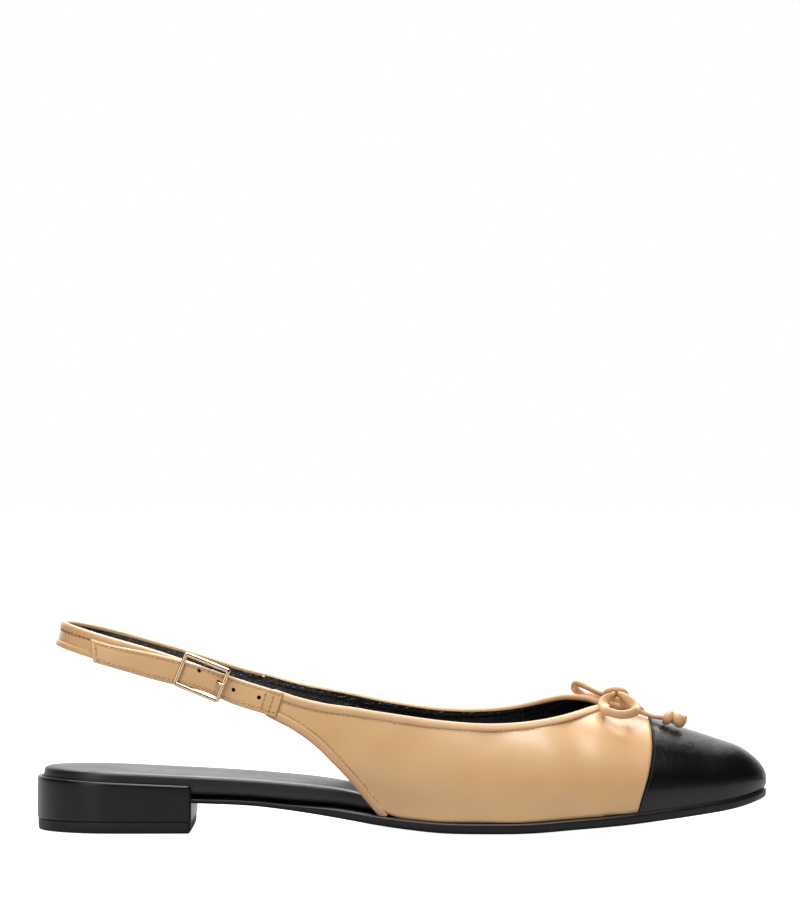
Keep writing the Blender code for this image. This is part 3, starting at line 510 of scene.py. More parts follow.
# Bow: leather cord, tied at the throat, a loop and a knotted tail to each side
bow = {
    "cord": 2.4 * mm,
    "fromHeel": 129.0,  # heel's back to the middle of the shoe, mm
    "sideShift": 0.75,  # the sole's middle line to the middle of the shoe's box, mm
    "sides": 16,
    "eased": 3,  # rounds that even out the cord's twist
    "blunt": (0.6, 0.2),  # share of the width at a cut end, and what each step adds
    "lies": (0.0, 1.0, 0.15),  # the loops lie flat to this direction
    "cordStep": 0.7 * mm,
    "wrapStep": 0.5 * mm,
    "endStep": 0.4 * mm,
    "intoEnd": 1.2 * mm,  # a tail runs on this far into its end knot
    "throughKnot": (0.3, 0.5),  # the cord turns off the knot's middle: shares of the way to loop and to tail
    "knot": (204.3, -0.4, 47.7, 1.1, 1.0),
    "lateralCrossing": [(203.9, -3.2, 48.0, 0.9, 0.8)],  # where each cord starts, inside the knot
    "medialCrossing": [(203.4, 0.2, 46.9, 1.0, 1.0), (200.4, 2.9, 47.3, 1.0, 1.0)],
    "lateralLoop": [  # station, across, height, half width, half thickness; mm
        (202.8, -6.6, 47.3, 1.1, 0.6), (200.9, -10.4, 46.2, 1.8, 0.5), (199.7, -14.4, 44.9, 2.2, 0.5),
        (200.0, -18.2, 42.8, 1.7, 0.6), (202.2, -20.4, 41.8, 1.5, 0.8), (205.4, -20.8, 41.3, 1.55, 0.9),
        (208.6, -19.4, 41.6, 1.65, 0.9), (210.9, -16.4, 42.7, 1.75, 0.75), (210.5, -12.8, 44.2, 1.8, 0.65),
        (208.6, -9.2, 45.8, 1.7, 0.65), (206.6, -6.2, 47.1, 1.3, 0.8)],
    "medialLoop": [
        (197.6, 6.4, 48.2, 1.1, 1.05), (193.6, 10.8, 49.95, 1.2, 1.1), (191.2, 14.8, 50.5, 1.35, 1.1),
        (190.5, 18.8, 49.2, 1.4, 1.1), (191.5, 21.8, 47.4, 1.35, 1.1), (194.8, 22.8, 46.0, 1.25, 1.15),
        (199.0, 20.4, 45.8, 1.25, 1.15), (202.6, 15.4, 46.5, 1.25, 1.1), (204.6, 9.4, 47.4, 1.3, 1.0)],
    "lateralTail": [
        (204.1, -3.4, 46.0, 1.3, 0.9), (206.6, -4.3, 44.5, 1.4, 0.9), (209.4, -4.9, 43.0, 1.25, 0.95),
        (213.4, -5.2, 41.3, 0.9, 0.9), (217.0, -5.4, 40.0, 0.85, 0.9), (220.8, -5.4, 39.5, 0.95, 0.95)],
    "medialTail": [
        (208.2, 3.0, 44.4, 1.05, 1.0), (212.4, 9.8, 42.4, 1.0, 1.0), (214.6, 15.6, 40.6, 1.0, 1.0),
        (214.4, 21.0, 38.6, 1.0, 1.0)],
    "wrap": [  # the cord's turn over the crossing
        (200.2, -0.6, 46.2, 1.0, 1.0), (200.5, -1.8, 47.6, 1.15, 1.1), (202.0, -2.4, 48.8, 1.3, 1.2),
        (204.4, -2.5, 49.15, 1.35, 1.25), (206.8, -2.2, 48.5, 1.3, 1.2), (208.1, -1.2, 46.9, 1.2, 1.1),
        (207.3, 0.4, 45.8, 1.1, 1.1), (204.0, 1.2, 45.6, 1.1, 1.1), (201.0, 1.6, 46.4, 1.1, 1.1),
        (201.0, 2.0, 47.8, 1.2, 1.1), (203.4, 2.2, 48.6, 1.25, 1.15), (206.2, 1.8, 48.0, 1.2, 1.1),
        (208.6, 0.9, 46.0, 1.1, 1.0), (209.2, -1.0, 43.6, 1.1, 1.1), (206.8, -3.6, 43.1, 1.3, 1.3),
        (203.8, -4.2, 43.8, 1.3, 1.3), (201.0, -2.6, 45.2, 1.1, 1.1)],
    "lateralEnd": [  # end knot: mm along the tail from its end, up, sideways, half width, half thickness
        (0.4, -0.4, 0.5, 1.0, 1.0), (1.0, -1.0, -0.1, 1.5, 1.4), (1.5, -0.4, -1.0, 1.8, 1.7),
        (2.0, 0.7, -0.8, 1.9, 1.8), (2.5, 1.0, 0.3, 1.9, 1.8), (3.0, 0.3, 1.1, 1.8, 1.7),
        (3.6, -0.6, 0.8, 1.5, 1.4), (4.1, 0.8, 0.2, 1.5, 1.4), (4.9, 0.6, -0.8, 1.95, 1.8),
        (5.6, -0.6, -0.8, 2.1, 1.9), (6.2, -0.9, 0.2, 2.0, 1.8), (6.9, -0.1, 0.5, 1.75, 1.5),
        (7.6, 0.9, 0.3, 1.2, 1.0), (8.3, 1.5, 0.2, 0.8, 0.7)],
    "medialEnd": [
        (0.2, -0.5, 0.5, 0.9, 0.9), (0.6, -0.9, -0.2, 1.1, 1.1), (0.9, -0.2, -1.0, 1.15, 1.1),
        (1.3, 0.7, -0.7, 1.15, 1.1), (1.7, 0.9, 0.3, 1.15, 1.1), (2.1, 0.2, 0.9, 1.15, 1.1),
        (2.6, -0.6, 0.6, 1.2, 1.1), (3.3, -0.5, -0.3, 1.3, 1.2), (4.1, 0.2, -0.3, 1.2, 1.1),
        (4.8, 0.6, 0.1, 0.9, 0.8)],
}


def shoeRows(rows):
    made = np.array(rows) * mm
    made[:, :2] -= np.array([bow["fromHeel"], bow["sideShift"]]) * mm
    return made


def cordTube(name, line, flatTo):  # oval cord; its wide axis lies square to the run and to flatTo
    path = line[:, :3]
    runs = headings(path)
    wides = unit(np.cross(runs, flatTo))
    for k in range(1, len(wides)):
        if wides[k].dot(wides[k - 1]) < 0:
            wides[k] = -wides[k]
    for _ in range(bow["eased"]):
        wides[1:-1] = unit(wides[:-2] + wides[1:-1] * 2 + wides[2:])
    wides = unit(wides - runs * np.sum(wides * runs, axis=1)[:, None])
    thins = np.cross(runs, wides)
    around = roundTurn(bow["sides"])
    least, gain = bow["blunt"]
    profiles = []
    for k, row in enumerate(line):
        ends = min(1.0, least + gain * min(k, len(line) - 1 - k))
        profiles.append([(math.cos(a) * row[3] * ends, math.sin(a) * row[4] * ends) for a in around])
    return sweep(name, path, wides, thins, profiles, [tanRolled])


def buildBowSide(side):
    loop, tail = shoeRows(bow[side + "Loop"]), shoeRows(bow[side + "Tail"])
    knot = shoeRows([bow["knot"]])[0]
    run = unit(tail[-1, :3] - tail[-2, :3])
    tip = tail[-1].copy()
    tip[:3] += run * bow["intoEnd"]
    toLoop, toTail = bow["throughKnot"]
    route = np.vstack([shoeRows(bow[side + "Crossing"]), loop, knot + (loop[-1] - knot) * toLoop,
                       knot + (tail[0] - knot) * toTail, tail, tip])
    line = smoothLine(route, bow["cordStep"])
    cord = cordTube("bowCord." + side, line, bow["lies"])
    dress(cord, "bow_cord", "bow_loop_" + side, "bow_tail_" + side)
    end = buildEndKnot(side, tail[-1, :3], run)


def buildEndKnot(side, tip, run):  # overhand knot: the cord turned round itself, its cut end pulled through
    up = unit(np.array([0.0, 0.0, 1.0]) - run * run[2])
    axes = np.stack([run, up, np.cross(up, run)])
    rows = np.array(bow[side + "End"]) * mm
    rows[:, :3] = tip + rows[:, :3] @ axes
    knot = cordTube("bowEnd." + side, smoothLine(rows, bow["endStep"]), axes[2])
    dress(knot, "bow_cord", "bow_end_" + side)
    return knot


def buildBow():
    wrap = cordTube("bowKnot", smoothLine(shoeRows(bow["wrap"]), bow["wrapStep"]), (0.0, 0.0, 1.0))
    dress(wrap, "bow_cord", "bow_knot")
    for side in ("lateral", "medial"):
        buildBowSide(side)


# Upper: the hollow wall, tan outside and lined in black, with the soft dents of wear
upperSet = {
    "inside": (0.095, 0.003, 0.018),  # a point within the toe, m: the outer skin faces away from it
    "dents": [  # side; from x and z to x and z, width and depth, mm
        (-1, 58, 38, 67, 18, 5.0, 0.45), (-1, 47, 35, 54, 17, 6.0, -0.5), (-1, 31, 31, 38, 13, 6.5, 0.6),
        (-1, 4, 30, 12, 14, 7.5, 0.4), (-1, -20, 32, -12, 15, 5.5, 0.35), (-1, -7, 33, 0, 18, 5.0, -0.3),
        (1, 55, 41, 62, 20, 6.0, 0.34), (1, 28, 38, 36, 14, 7.0, 0.3), (1, -18, 42, -8, 16, 6.0, 0.26),
    ],
    "lasted": (0.7 * mm, 0.5 * mm),  # edges this near the sole are drawn this far down into it
    "throat": (71.0, 79.0),  # the wall closes over the toe between these, mm before the shoe's middle
    "about": 12 * mm,  # and the skins are told apart again this far to each side
    "wall": (0.3 * mm, 3 * mm),  # by looking for the other skin from here to here outside a face
    "far": 0.1,  # a place well outside the wall, m from the toe's middle line
    "beyond": 4 * mm,  # a section serves a corner if its skin is no farther out than this past it
    "outer": 0.35,  # a face that looks outwards by less than this cosine is lined, cut edges too
    "crease": (38, 0.85),  # edges folded by more than these degrees keep this much of their sharpness
}


def facesOut(face, inside):
    middle = face.calc_center_median()
    origin = Vector((min(middle.x, inside[0]), inside[1], inside[2]))
    return face.normal.dot((middle - origin).normalized()) > upperSet["outer"]


def denting(points):
    deep = np.zeros(len(points))
    flat = points[:, [0, 2]]
    for side, x0, z0, x1, z1, width, depth in upperSet["dents"]:
        start, run = np.array([x0, z0]) * mm, np.array([x1 - x0, z1 - z0]) * mm
        share = np.clip((flat - start) @ run / run.dot(run), 0, 1)
        off = np.linalg.norm(flat - start - share[:, None] * run, axis=1)
        deep += np.where(points[:, 1] * side > 0, depth * mm * np.exp(-(off / (width * mm)) ** 2), 0)
    return deep


def skinTree(mesh, points):
    return BVHTree.FromPolygons(points.tolist(), [list(polygon.vertices) for polygon in mesh.polygons])


def easeThroat(mesh, low, high):  # both skins run straight from one clean section to the next
    points = np.array([vertex.co[:] for vertex in mesh.vertices])
    tree = skinTree(mesh, points)
    axis = np.array(upperSet["inside"][1:])
    eased = points.copy()
    for k in np.flatnonzero((points[:, 0] > low) & (points[:, 0] < high)):
        away = points[k, 1:] - axis
        reach = np.linalg.norm(away)
        way = Vector((0, *(away / reach)))
        skins = []
        for x in (low, high):
            inner = tree.ray_cast(Vector((x, *axis)), way)[3]
            outer = tree.ray_cast(Vector((x, *axis)) + way * upperSet["far"], -way)[3]
            if inner and outer and inner < reach + upperSet["beyond"]:
                skins.append((inner, upperSet["far"] - outer))
        if len(skins) == 2:
            share = (points[k, 0] - low) / (high - low)
            radii = [first + (last - first) * share for first, last in zip(*skins)]
            radius = min(radii, key=lambda r: abs(r - reach))
            eased[k, 1:] = axis + away / reach * radius
    mesh.vertices.foreach_set("co", eased.ravel())
    mesh.update()
    return eased


def sortSkins(mesh, points, low, high):  # a face with the wall's other skin close outside it is lined
    tree = skinTree(mesh, points)
    start, reach = upperSet["wall"]
    axis = upperSet["inside"][1:]
    for polygon in mesh.polygons:
        middle = polygon.center
        if low < middle.x < high:
            way = Vector((0, middle.y - axis[0], middle.z - axis[1])).normalized()
            polygon.material_index = 1 if tree.ray_cast(middle + way * start, way, reach)[0] else 0


def buildUpper():
    work = cadCage("upper")
    pressInto(work, "outsole", *upperSet["lasted"])
    joinQuads(work)
    creaseSharp(work, *upperSet["crease"])
    low, high = [edge * mm for edge in upperSet["throat"]]
    layer = work.edges.layers.float["crease_edge"]
    for edge in work.edges:
        if all(low < vert.co.x < high for vert in edge.verts):
            edge[layer] = 0
    for face in work.faces:
        face.material_index = 0 if facesOut(face, upperSet["inside"]) else 1
    upper = rounded(newPiece("upperCalf", work, [tanCalf, liningGoat]))
    mesh = upper.data
    points = easeThroat(mesh, low, high)
    sortSkins(mesh, points, low - upperSet["about"], high + upperSet["about"])
    outward = np.array([vertex.normal[:] for vertex in mesh.vertices])
    for polygon in mesh.polygons:
        if polygon.material_index == 1:
            corners = list(polygon.vertices)
            outward[corners] *= np.sign(-outward[corners] @ polygon.normal)[:, None]
    points -= outward * denting(points)[:, None]
    mesh.vertices.foreach_set("co", points.ravel())
    mesh.update()
    dress(upper, "tan_leather", "upper")
    return skinTree(mesh, points)


# Cap: an overlay with a clean cut edge
capSet = {"crease": (40, 1.0), "sharp": 40}  # degrees and share, as for the upper


def buildCap():
    work = cadCage("toe_cap")
    pressInto(work, "outsole", *upperSet["lasted"])
    joinQuads(work)
    creaseSharp(work, *capSet["crease"])
    cap = rounded(newPiece("toeCapCalf", work, [blackCalf]), shaping["glossLevels"])
    cap.data.set_sharp_from_angle(angle=math.radians(capSet["sharp"]))
    dress(cap, "black_leather", "toe_cap")


# Sole: thin board, rounded at its edges by the burnishing iron
outsole = {"crease": (45, 0.6)}


def buildOutsole():
    work = cadCage("outsole")
    joinQuads(work)
    creaseSharp(work, *outsole["crease"])
    dress(rounded(newPiece("outsoleBoard", work, [soleWax])), "sole_board", "outsole")


# Footbed: wrapped edge, and a sock laid on top with its own thin edge
footbed = {
    "crease": (50, 0.35),
    "topFacing": 0.86,  # faces that look up by more than this cosine carry the sock
    "wrap": 1.7 * mm,  # the wrapped edge left round the sock
    "slope": 0.3 * mm,
    "rise": 0.32 * mm,
}


def buildFootbed():
    work = cadCage("insole")
    joinQuads(work)
    creaseSharp(work, *footbed["crease"])
    top = [face for face in work.faces if face.normal.z > footbed["topFacing"]]
    bmesh.ops.inset_region(work, faces=top, thickness=footbed["wrap"], use_even_offset=True)
    bmesh.ops.inset_region(work, faces=top, thickness=footbed["slope"], depth=footbed["rise"],
                           use_even_offset=True)
    dress(rounded(newPiece("footbedSock", work, [sockCalf])), "black_leather", "insole")


# Heel: block with a rounded lip round the seat, and the lift under it
heel = {
    "block": [  # inset mm, share of the height, mm above that
        (0.5, 0.0, 0.0), (0.1, 0.0, 0.03), (0.0, 0.0, 0.22), (0.0, 0.0, 0.7), (0.0, 0.35, 0.0),
        (0.0, 1.0, -1.4), (0.1, 1.0, -0.5), (0.45, 1.0, -0.07), (0.85, 1.0, 0.0), (1.3, 1.0, -0.1),
        (1.6, 1.0, -0.6), (1.7, 1.0, -3.0)],
    "lift": [
        (1.2, 0.0, 0.0), (0.45, 0.0, 0.2), (0.12, 0.0, 0.8), (0.0, 0.5, 0.0), (0.0, 1.0, -0.2),
        (0.03, 1.0, 0.02), (0.22, 1.0, 0.24), (0.6, 1.0, 0.3)],
    "near": 1.1 * mm,  # the height over a corner of the outline is the solid's highest point this near to it
    "digits": 6,  # corners that agree to these decimals of a metre are one
    "straight": 1e-9,  # three corners are in line if they span less than this, m2
}


def hullOf(points):
    digits = heel["digits"]
    ordered = sorted({(round(x, digits), round(y, digits)) for x, y in points})
    halves = []
    for row in (ordered, ordered[::-1]):
        half = []
        for x, y in row:
            while len(half) > 1 and ((half[-1][0] - half[-2][0]) * (y - half[-2][1]) -
                                     (half[-1][1] - half[-2][1]) * (x - half[-2][0])) <= heel["straight"]:
                half.pop()
            half.append((x, y))
        halves += half[:-1]
    return np.array(halves)


def stackedBlock(name, node, levels, material):
    verts = np.array([vertex.co[:] for vertex in nodes[node].data.vertices])
    outline = hullOf(verts[:, :2])
    runs = np.roll(outline, -1, axis=0) - outline
    normals = unit(np.stack([-runs[:, 1], runs[:, 0]], axis=1))
    inward = unit(normals + np.roll(normals, 1, axis=0))
    base = verts[:, 2].min()
    tops = np.array([verts[np.linalg.norm(verts[:, :2] - point, axis=1) < heel["near"], 2].max()
                     for point in outline])
    work = bmesh.new()
    rings = []
    for inset, share, above in levels:
        heights = base + (tops - base) * share + above * mm
        rings.append([work.verts.new((*(point + into * inset * mm), max(height, base)))
                      for point, into, height in zip(outline, inward, heights)])
    for low, high in zip(rings, rings[1:]):
        bandBetween(work, low, high)
    work.faces.new(rings[0])
    work.faces.new(rings[-1])
    return rounded(newPiece(name, work, [material]))


def buildHeel():
    dress(stackedBlock("heelCover", "heel_block", heel["block"], heelCalf), "black_leather", "heel_block")
    dress(stackedBlock("heelLift", "top_lift", heel["lift"], liftRubber), "lift_rubber", "top_lift")


# Rolled edges: a strip sewn over the cut edge of the wall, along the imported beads
edges = {
    "roll": [  # across the wall and off its edge, mm
        (0.95, -2.0), (1.2, -1.8), (1.32, -1.1), (1.34, -0.2), (1.18, 0.6), (0.74, 1.08), (0.0, 1.27),
        (-0.74, 1.08), (-1.18, 0.6), (-1.34, -0.2), (-1.3, -1.1), (-1.18, -1.8), (-0.95, -2.0),
        (-0.3, -1.9), (0.3, -1.9)],
    "tape": [
        (0.92, -1.95), (1.12, -1.75), (1.17, -0.9), (1.12, 0.1), (0.9, 0.7), (0.5, 1.0), (0.0, 1.1),
        (-0.5, 1.0), (-0.9, 0.7), (-1.12, 0.1), (-1.17, -0.9), (-1.12, -1.75), (-0.92, -1.95),
        (-0.3, -1.9), (0.3, -1.9)],
    "sharp": 50,  # degrees
    "step": 1.0 * mm,
    "rollStart": (-1, -0.3, 0.2),  # the end that a bead is followed from faces this way
    "tapeStart": (-0.8, 0, 0.6),
    "rollReach": (5.0 * mm, 9.0 * mm),  # how far each end runs on under the straps
    "tapeReach": (4.0 * mm, 3.5 * mm),  # under the strap above, and into the sole below
    "tucked": 0.6,  # width left at those ends
    "hem": (1.5 * mm, 2.3 * mm),  # the seam's row of stitches: out from the edge's middle and down the wall
    "thread": {"pitch": 1.9 * mm, "hole": 0.8 * mm, "thread": 0.36 * mm, "rise": 0.05 * mm,
               "material": tanThread, "shadow": paintedHoleShade},
    "lined": (-1.6, 0.9),  # faces whose corners add up to less, across and off the edge, are lined; mm
}


def buildEdge(name, node, kind, wall, skin):
    centres = beadLine(node, edges[kind + "Start"])
    offs = []
    for centre in centres:
        near = wall.find_nearest(Vector(centre))[0]
        offs.append(unit(centre - np.array(near)))
    rows = np.hstack([centres, offs])
    before, after = edges[kind + "Reach"]
    first, last = rows[0].copy(), rows[-1].copy()
    first[:3] += unit(rows[0, :3] - rows[1, :3]) * before
    last[:3] += unit(rows[-1, :3] - rows[-2, :3]) * after
    line = smoothLine(np.vstack([first, rows, last]), edges["step"])
    runs = headings(line[:, :3])
    offs = unit(line[:, 3:6] - runs * np.sum(line[:, 3:6] * runs, axis=1)[:, None])
    across = np.cross(runs, offs)
    run = np.arange(len(line)) * edges["step"]
    ends = np.minimum(run / before, run[::-1] / after)
    widths = edges["tucked"] + (1 - edges["tucked"]) * np.clip(ends, 0, 1)
    profile = edges[kind]
    shapes = [np.array(profile) * mm * np.array([width, 1]) for width in widths]
    outside = 1 if kind == "roll" or np.sum(across[:, 1] * line[:, 1]) > 0 else -1
    inward, turnedUp = edges["lined"]
    lined = [1 if (a[0] + b[0]) * outside < inward and a[1] + b[1] < turnedUp else 0
             for a, b in zip(profile, profile[1:] + profile[:1])]
    piece = sweep(name, line[:, :3], across, offs, shapes, [tanRolled, liningGoat], lined, endFinish=1)
    piece.data.set_sharp_from_angle(angle=math.radians(edges["sharp"]))
    dress(piece, "tan_leather", node)
    out, down = edges["hem"]
    points, normals = laidOn(skin, line[:, :3] + across * outside * out - offs * down)
    inner = slice(round(before / edges["step"]), -round(after / edges["step"]))
    row = stitchRow(name + ".stitch", points[inner], normals[inner], edges["thread"])
    dress(row, "tan_leather")


def buildEdges(skin):
    wall = cadTree("upper")
    buildEdge("collarRoll", "topline_binding", "roll", wall, skin)
    for side in ("lateral", "medial"):
        buildEdge("backTape." + side, "edge_binding_" + side, "tape", wall, skin)


# Straps: turned edges and black lining, two rows of stitches along the buckled strap and one along the other
straps = {
    "middle": (-0.085, 0.0),  # a place inside the heel strap's bend, m
    "slingStart": (1, 0.2, 0),  # the end that a strap is followed from faces this way
    "buckledStart": (1, 0, 0),
    "step": 0.9 * mm,
    "sling": [  # share of the width up from the middle, mm outwards
        (-0.5, 0.15), (-0.485, 0.72), (-0.45, 1.02), (-0.37, 1.12), (-0.285, 0.98), (-0.258, 0.55),
        (-0.23, 0.58), (0.0, 0.64), (0.155, 0.6), (0.18, 0.5), (0.205, 0.9), (0.3, 1.12), (0.4, 1.16),
        (0.46, 0.94), (0.49, 0.5), (0.5, 0.05), (0.495, -0.4), (0.47, -0.72), (0.43, -0.86),
        (0.385, -0.86), (0.365, -0.74), (0.0, -0.74), (-0.3, -0.74), (-0.455, -0.72), (-0.49, -0.4)],
    "buckled": [
        (-0.5, 0.1), (-0.49, 0.5), (-0.465, 0.74), (-0.42, 0.82), (-0.375, 0.8), (-0.36, 0.73),
        (-0.345, 0.8), (-0.2, 0.86), (0.0, 0.88), (0.2, 0.86), (0.345, 0.8), (0.36, 0.73),
        (0.375, 0.8), (0.42, 0.82), (0.465, 0.74), (0.49, 0.5), (0.5, 0.1), (0.49, -0.5),
        (0.46, -0.78), (0.2, -0.8), (-0.2, -0.8), (-0.46, -0.78), (-0.49, -0.5)],
    "sharp": 42,  # degrees
    "dense": 8,  # points on a packed edge for each step of the strap
    "rim": 0.3 * mm,  # a cut end is rounded off over this length
    "rimShare": (0.985, 0.55),  # to these shares of its width and thickness
    "lined": -0.45,  # the lining lies this far in, mm off the middle
    "fold": 0.37,  # and below the tan fold of the upper edge, share of the width
    "holes": [  # from the heel's back, up from the middle, half length; mm
        (58.0, 2.4, 0.7), (65.4, 0.9, 0.9), (70.5, 0.3, 0.7), (79.4, 0.4, 0.75)],
    "holeHalf": 0.7,  # half height, mm
    "holeDeep": 1.3,
    "holeSides": 18,
    "face": 0.85,  # the buckled strap's outer face, mm off its middle
    "punchFrom": 2,  # the punch's top, mm off the middle
    "skived": (0.4, 5.0 * mm),  # the sewn end is pared down to this share of its thickness, over this length
    "clear": 2,  # steps at each end that have no stitches along them
    "edgeRows": (0.36, 0.76 * mm),  # rows along the buckled strap: share of its width, and off its middle
    "slingRow": (0.168, 0.56 * mm),
    "crossRows": (4, 7, -4),  # stitches across the buckled strap, in steps from its ends
    "crossPoints": 6,
    "thread": {"pitch": 1.85 * mm, "hole": 0.7 * mm, "thread": 0.5 * mm, "rise": 0.12 * mm,
               "material": tanThread, "shadow": paintedHoleShade},
    "longThread": {"pitch": 2.1 * mm, "hole": 1.0 * mm, "thread": 0.5 * mm, "rise": 0.16 * mm,
                   "material": tanThread, "shadow": paintedHoleShade},
}


def strapLine(node, towards):  # rows of middle, width upwards, way outwards and paring, end to end
    work = cadCage(node)
    cap = endCap(work, towards)
    ordered = sorted(cap, key=lambda vert: vert.co.z)
    middle = Vector((*straps["middle"], 0))
    rails = []
    for pair in (ordered[:2], ordered[-2:]):
        pair.sort(key=lambda vert: (vert.co - middle).xy.length)
        rails += [railFrom(vert, cap) for vert in pair]
    length = np.sum(np.linalg.norm(np.diff(rails[0], axis=0), axis=1))
    count = round(length / straps["step"])
    rows = []
    for rail in rails:
        dense = smoothLine(rail, length / count / straps["dense"])
        at = np.linspace(0, len(dense) - 1, count + 1)
        rows.append(np.stack([np.interp(at, np.arange(len(dense)), column) for column in dense.T], axis=1))
    work.free()
    lowIn, lowOut, highIn, highOut = rows
    low, high = (lowIn + lowOut) / 2, (highIn + highOut) / 2
    least, run = straps["skived"]
    share = np.clip(np.arange(count + 1) * straps["step"] / run, 0, 1)
    pared = least + (1 - least) * share * share * (3 - 2 * share)
    line = np.hstack([(low + high) / 2, high - low, unit(lowOut - lowIn + highOut - highIn), pared[:, None]])
    rim = straps["rim"] / straps["step"]
    near = line[0] + (line[1] - line[0]) * rim
    far = line[-1] + (line[-2] - line[-1]) * rim
    return np.vstack([line[0], near, line[1:-1], far, line[-1]])


def strapPiece(name, line, profile):
    shape = np.array(profile) * np.array([1, mm])
    shapes = [np.where(shape[:, 1:] > 0, shape * np.array([1, row[9]]), shape) for row in line]
    for end in (0, -1):
        shapes[end] = shapes[end] * np.array(straps["rimShare"])
    inner = []
    for (a, out), (after, outAfter) in zip(profile, profile[1:] + profile[:1]):
        lined = (out + outAfter) / 2 < straps["lined"] and (a + after) / 2 < straps["fold"]
        inner.append(1 if lined else 0)
    # the third slot, the holes' painted shade, comes onto the cut walls and floors when the holes are
    # punched
    leathers = [tanCalf, liningGoat, paintedHoleShade]
    piece = sweep(name, line[:, :3], line[:, 3:6], unit(line[:, 6:9]), shapes, leathers, inner)
    piece.data.set_sharp_from_angle(angle=math.radians(straps["sharp"]))
    return piece


def onStrap(line, share, out):
    return line[:, :3] + line[:, 3:6] * share + unit(line[:, 6:9]) * line[:, 9:10] * out


# blind holes: the cutter leaves its painted shade on their walls and floor
def punchHoles(piece, line):
    work = bmesh.new()
    runs = headings(line[:, :3])
    for station, above, half in straps["holes"]:
        k = int(np.argmin(np.abs(line[:, 0] - (station - bow["fromHeel"]) * mm)))
        centre, up, out, run = line[k, :3], unit(line[k, 3:6]), unit(line[k, 6:9]), runs[k]
        ring = []
        for a in roundTurn(straps["holeSides"]):
            spot = centre + up * above * mm + run * math.cos(a) * half * mm
            ring.append(spot + up * math.sin(a) * straps["holeHalf"] * mm)
        floor = straps["face"] - straps["holeDeep"]
        bottom = [work.verts.new(spot + out * floor * mm) for spot in ring]
        top = [work.verts.new(spot + out * straps["punchFrom"] * mm) for spot in ring]
        bandBetween(work, bottom, top)
        work.faces.new(bottom)
        work.faces.new(top)
    cutter = newPiece("holePunch", work, [paintedHoleShade])
    cut = piece.modifiers.new("paintedHoleShade", "BOOLEAN")
    cut.object = cutter
    cut.solver = "EXACT"
    cut.material_mode = "TRANSFER"
    baked(piece)
    bpy.data.objects.remove(cutter)
    piece.data.set_sharp_from_angle(angle=math.radians(straps["sharp"]))


def buildStraps():
    sling = strapLine("sling_strap", straps["slingStart"])
    dress(strapPiece("heelStrap", sling, straps["sling"]), "tan_leather", "sling_strap")
    buckled = strapLine("buckle_strap", straps["buckledStart"])
    strap = strapPiece("buckleStrap", buckled, straps["buckled"])
    punchHoles(strap, buckled)
    dress(strap, "tan_leather", "buckle_strap")
    rows = []
    clear = slice(straps["clear"], -straps["clear"])
    inner = buckled[clear]
    edge, off = straps["edgeRows"]
    for share in (-edge, edge):
        points = onStrap(inner, share, off)
        rows.append(stitchRow("strapStitch", points, unit(inner[:, 6:9]), straps["thread"]))
    slingIn = sling[clear]
    points = onStrap(slingIn, *straps["slingRow"])
    rows.append(stitchRow("slingStitch", points, unit(slingIn[:, 6:9]), straps["longThread"]))
    count = straps["crossPoints"]
    for end in straps["crossRows"]:
        here = np.tile(buckled[end], (count, 1))
        points = onStrap(here, np.linspace(-edge, edge, count)[:, None], straps["face"] * mm)
        rows.append(stitchRow("strapStitch", points, unit(here[:, 6:9]), straps["thread"]))
    for row in rows:
        dress(row, "tan_leather")


# Buckle: frame with rounded bars, its back bar and the tongue
buckle = {
    "bar": [  # across the bar and outwards, mm
        (-0.76, -0.62), (-0.78, 0.0), (-0.7, 0.34), (-0.5, 0.54), (-0.25, 0.62), (0.0, 0.64),
        (0.25, 0.62), (0.5, 0.54), (0.7, 0.34), (0.78, 0.0), (0.76, -0.62), (0.4, -0.7), (-0.4, -0.7)],
    "barHalf": 0.78 * mm,
    "barDeep": 1.4 * mm,
    "corner": 0.45 * mm,
    "cornerPoints": 6,
    "between": 9,  # points along each bar, so that its highlight runs evenly
    "sharp": 38,  # degrees
    "pin": 0.5 * mm,
    "pinSides": 12,
    "pinStep": 0.5 * mm,
    "pinBend": [(0.0, 0.0), (0.25 * mm, 0.6), (0.9 * mm, 1.0)],  # in from the frame, share of the set-back
}


